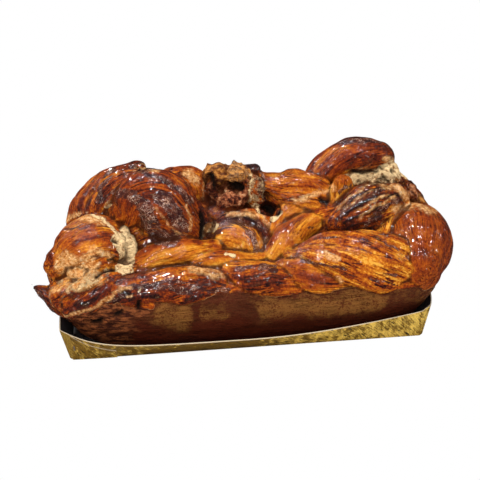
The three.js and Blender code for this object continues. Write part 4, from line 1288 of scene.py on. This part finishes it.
def gold_material():
    n = Nodes("gold_card_outside")
    sheet = n.attribute("sheet").outputs["Vector"]
    slanted = n.node("VectorRotate", rotation_type="Z_AXIS")
    n.set(slanted, Vector=sheet, Angle=SCRATCH_SLANT)
    blotch, fleck = (n.stretched(sheet, *cells) for cells in (BLOTCH, FLECK))
    brushed, scratch = (n.stretched(slanted.outputs[0], *cells) for cells in (BRUSHED, SCRATCH))
    along = n.axis(n.place(), 0)
    # shine is painted reflection: the foil's mottled light and dark, darker over the left of the tray and a
    # little lighter again at its far left end. It also gives the card's bump.
    shine = n.add(blotch, brushed, 0.7)
    shine = n.add(shine, n.range(along, 0.05, -0.02), -0.22)
    shine = n.add(shine, n.range(along, -0.05, -0.09), 0.11)
    look = n.mix(n.range(shine, 0.70, 1.0), GOLD_SHADE, GOLD)
    look = n.mix(n.range(scratch, 0.57, 0.68), look, GOLD_DARK)
    look = n.mix(n.range(fleck, 0.58, 0.68), look, GOLD_DARK)
    n.set(Base_Color=look, Metallic=0.1, Specular_IOR_Level=0.25)
    n.set(Normal=n.bump(shine, 0.0006, 0.5), Roughness=n.range(blotch, 0.3, 0.7, 0.3, 0.5))
    return n.material


def black_material():
    n = Nodes("black_card_inside")
    where = n.place()
    fibre = n.noise(where, 900.0, 3.0, 0.6)
    # Painted sheen: paler blue-grey patches over the card's fibres.
    sheen = n.add(fibre, n.noise(where, 60.0, 2.0, 0.5), 0.6)
    n.set(Base_Color=n.mix(n.range(sheen, 0.5, 1.1), BLACK, BLACK_SHEEN), Specular_IOR_Level=0.3)
    n.set(Roughness=n.range(fibre, 0.3, 0.7, 0.45, 0.6), Normal=n.bump(fibre, 0.0001, 0.4))
    return n.material


def edge_material():
    n = Nodes("card_cut_edge")
    n.set(Base_Color=n.mix(n.noise(n.place(), 1200.0, 3.0, 0.6), EDGE_SHADE, EDGE), Roughness=0.8)
    return n.material


# ---- The tray -------------------------------------------------------------------------------------

TRAY_LENGTH, TRAY_WIDTH, TRAY_WALL = 260.0, 102.0, 24.5
TRAY_CORNER = 2.5
CORNER_LEAN, FRONT_LEAN, LEFT_LEAN, RIGHT_LEAN = 13.0, 45.5, 17.0, 32.0  # degrees from upright
LEAN_SHAPE = 0.85  # how full a wall's bulge is from corner to corner, the lower the fuller
PRESSED_SHARE = 0.075  # of the front wall, in which its left end leans out nearly all the way
LONG_SPANS, END_SPANS, WALL_ROWS = 72, 42, 8  # spans along a long and an end wall, and rows up them
TAB_SHARE = 0.13  # of the front wall, covered by the left end wall's glued tab
TAB_DROP = 0.42  # of the wall's height, by which the tab falls to its end
TAB_FOOT = 0.02  # of the wall's height, below the tab
TAB_THICKNESS, TAB_SINK = 0.7, 0.2
SHARP_EDGE = math.radians(28)
OUTSIDE, INSIDE, CUT = 0, 1, 2  # the tray's materials


def wall_line():
    """Points along the base's fold, with their outward directions and the lean of the wall there."""
    base, out, lean = [], [], []
    for turn, most in ((0, FRONT_LEAN), (90, RIGHT_LEAN), (180, FRONT_LEAN), (270, LEFT_LEAN)):
        length, off, spans = TRAY_LENGTH, TRAY_WIDTH / 2, LONG_SPANS
        if turn % 180:
            length, off, spans = TRAY_WIDTH, TRAY_LENGTH / 2, END_SPANS
        share = np.arange(spans + 1) / spans
        along = (share - 0.5) * (length - 2 * TRAY_CORNER)
        c, s = math.cos(math.radians(turn)), math.sin(math.radians(turn))
        base.append(np.stack([along * c + off * s, along * s - off * c, 0 * along], axis=1))
        out.append(np.tile([s, -c, 0.0], (spans + 1, 1)))
        bulge = np.sin(math.pi * share) ** LEAN_SHAPE
        if turn == 0:
            bulge = np.where(share < 0.5, 1 - np.exp(-share / PRESSED_SHARE), bulge)
        lean.append(np.radians(CORNER_LEAN + (most - CORNER_LEAN) * bulge))
    return np.vstack(base), np.vstack(out), np.concatenate(lean)[:, None]


def tray_walls(base, out, wall, inward, run):
    """Points, faces, materials and places on the sheet of the floor and walls."""
    up = np.array([0.0, 0.0, 1.0])
    steps = np.arange(WALL_ROWS + 1)
    outer = [base + wall * TRAY_WALL * k / WALL_ROWS for k in steps]
    inner_base, inner_top = base - out * CARD + up * CARD, base + TRAY_WALL * wall + inward * CARD
    inner = [inner_top + (inner_base - inner_top) * k / WALL_ROWS for k in steps]
    rings = outer + inner
    points = np.vstack([[[0, 0, 0]], *rings, [[0, 0, CARD]]])
    quads, fans = loft_faces(len(rings), len(base))
    climb = np.concatenate([steps, steps[::-1]]) * TRAY_WALL / WALL_ROWS
    sheet = colours(len(points), 0.0, 0.0, 0.0, 1.0)
    sheet[1:-1, 0] = np.tile(run, len(rings))
    sheet[1:-1, 1] = np.repeat(climb, len(base))
    row = [OUTSIDE] * WALL_ROWS + [CUT] + [INSIDE] * WALL_ROWS
    slots = np.repeat([*row, OUTSIDE, INSIDE], len(base))
    return points, [quads, fans], slots, sheet


def tray_tab(base, wall, inward, run):
    """The glued tab on the front wall: a strip whose top edge falls from the corner."""
    taken = int(TAB_SHARE * LONG_SPANS) + 1
    base, wall, inward = base[:taken], wall[:taken], inward[:taken]
    share = np.linspace(0, 1, taken)[:, None]
    low, high = TRAY_WALL * TAB_FOOT * wall, TRAY_WALL * (1 - TAB_DROP * share) * wall
    inside, outside = TAB_SINK * inward, -TAB_THICKNESS * inward
    corners = [low + outside, high + outside, high + inside, low + inside]
    strip = np.stack([base + corner for corner in corners], axis=1).reshape(-1, 3)
    points = np.vstack([[strip[:4].mean(axis=0)], strip, [strip[-4:].mean(axis=0)]])
    sheet = colours(len(points), 0.0, 0.0, 0.0, 1.0)
    sheet[1:-1, 0] = np.repeat(run[:taken], 4)
    sheet[1:-1, 1] = np.linalg.norm(strip - np.repeat(base, 4, axis=0), axis=1)
    quads, fans = loft_faces(taken, 4)
    slots = np.concatenate([np.tile([OUTSIDE, CUT, INSIDE, OUTSIDE], taken - 1), np.full(len(fans), CUT)])
    return points, [quads[:, ::-1], fans[:, ::-1]], slots, sheet


def tray_object():
    """The folded card tray: gold outside, black inside, a cream cut edge."""
    base, out, lean = wall_line()
    up = np.array([0.0, 0.0, 1.0])
    wall, inward = out * np.sin(lean) + up * np.cos(lean), up * np.sin(lean) - out * np.cos(lean)
    run = np.cumsum(np.linalg.norm(np.diff(base, axis=0, prepend=base[-1:]), axis=1))
    points, faces, slots, sheet = tray_walls(base, out, wall, inward, run)
    tab_points, tab_faces, tab_slots, tab_sheet = tray_tab(base, wall, inward, run)
    faces += [block + len(points) for block in tab_faces]
    layers = {"sheet": np.vstack([sheet, tab_sheet])}
    made = mesh_object("tray_card", np.vstack([points, tab_points]), faces, layers)
    for material in (gold_material(), black_material(), edge_material()):
        made.data.materials.append(material)
    made.data.polygons.foreach_set("material_index", np.concatenate([slots, tab_slots]).astype(np.int32))
    made.data.shade_smooth()
    made.data.set_sharp_from_angle(angle=SHARP_EDGE)
    return made


# ---- Light and floor ------------------------------------------------------------------------------

AMBIENT = 0.38  # soft light from all round
AMBIENT_GLOSS = 0.02  # what gloss reflects of it
AIM = Vector((0.0, 0.0, 0.06))
# Name, place, size, power, whether gloss shows it and whether it lights the surface. In metres and watts.
LIGHTS = [
    ("window", (-0.75, 0.80, 0.62), (0.30, 0.22), 5.0, False, True),
    ("ceiling", (0.12, 0.05, 1.25), (0.11, 0.10), 4.6, True, True),
    ("lamp", (-0.40, -0.62, 1.0), (0.08, 0.08), 2.8, True, True),
    ("side", (0.95, -0.25, 0.8), (0.08, 0.08), 2.2, True, True),
    ("above", (0.0, -0.1, 1.5), (1.2, 0.9), 8.2, False, True),
    ("left", (-1.1, -0.5, 0.7), (0.5, 0.5), 5.0, False, True),
    ("front", (0.1, -1.5, 0.75), (1.2, 0.8), 8.0, False, True),
    ("shine_back", (-0.40, 0.62, 0.95), (0.09, 0.08), 7.0, True, False),
    ("shine_front", (-0.15, -0.75, 0.95), (0.07, 0.07), 4.5, True, False),
    ("shine_left", (-0.80, 0.10, 0.95), (0.07, 0.07), 4.5, True, False),
]
FLOOR_SIDE, FLOOR_DROP = 6.0, 0.0002  # half its side and its depth below the tray, metres


def make_lights():
    for name, place, size, power, glints, glow in LIGHTS:
        data = bpy.data.lights.new(name, "AREA")
        data.shape = "RECTANGLE"
        data.size, data.size_y = size
        data.energy = power
        light = link_object(name, data)
        light.visible_glossy = glints
        light.visible_diffuse = glow
        light.location = place
        light.rotation_euler = (AIM - light.location).to_track_quat("-Z", "Y").to_euler()


def make_world():
    """White behind the object, softer where it lights the object, and dim where gloss reflects it."""
    world = bpy.data.worlds.new("studio")
    world.use_nodes = True
    tree = world.node_tree
    tree.nodes.clear()
    path = tree.nodes.new("ShaderNodeLightPath")
    shader = None
    for ray, strength in ((None, AMBIENT), ("Is Glossy Ray", AMBIENT_GLOSS), ("Is Camera Ray", 1.0)):
        light = tree.nodes.new("ShaderNodeBackground")
        light.inputs[0].default_value = colour(1.0, 1.0, 1.0)
        light.inputs[1].default_value = strength
        before, shader = shader, light.outputs[0]
        if before is not None:
            mix = tree.nodes.new("ShaderNodeMixShader")
            for source, socket in zip((path.outputs[ray], before, shader), mix.inputs):
                tree.links.new(source, socket)
            shader = mix.outputs[0]
    tree.links.new(shader, tree.nodes.new("ShaderNodeOutputWorld").inputs[0])
    bpy.context.scene.world = world
    bpy.context.scene.view_settings.view_transform = "Standard"


def make_floor():
    mesh = bpy.data.meshes.new("floor")
    corners = [(x * FLOOR_SIDE, y * FLOOR_SIDE, 0) for x, y in ((-1, -1), (1, -1), (1, 1), (-1, 1))]
    mesh.from_pydata(corners, [], [(0, 1, 2, 3)])
    floor = link_object("floor", mesh)
    n = Nodes("floor")
    n.set(Base_Color=FLOOR_WHITE, Roughness=0.7)
    mesh.materials.append(n.material)
    floor.location.z = -FLOOR_DROP
    floor.visible_glossy = False
    floor.visible_camera = False


# ---- Assembly -------------------------------------------------------------------------------------


def loaf_object():
    """The loaf: its body, strands and lumps fused, with the gaps cut out and the marks laid on."""
    dough = [body_object(), *(strand_object(spec, 3 + i) for i, spec in enumerate(STRANDS))]
    dough += [*band_objects(), flap_object(), *map(lump_object, LUMPS)]
    loaf = even_mesh(fuse("babka", dough, [lump_object(spec) for spec in GAPS]))
    hollow = settle(loaf.data)
    loaf.data.shade_smooth()
    paint(loaf, hollow)
    loaf.data.materials.append(loaf_material())
    return loaf


def dress(piece, node):
    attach(piece, "root")
    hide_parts(node)


make_camera()
make_lights()
make_world()
make_floor()
dress(loaf_object(), "babka_loaf")
dress(tray_object(), "card_tray")
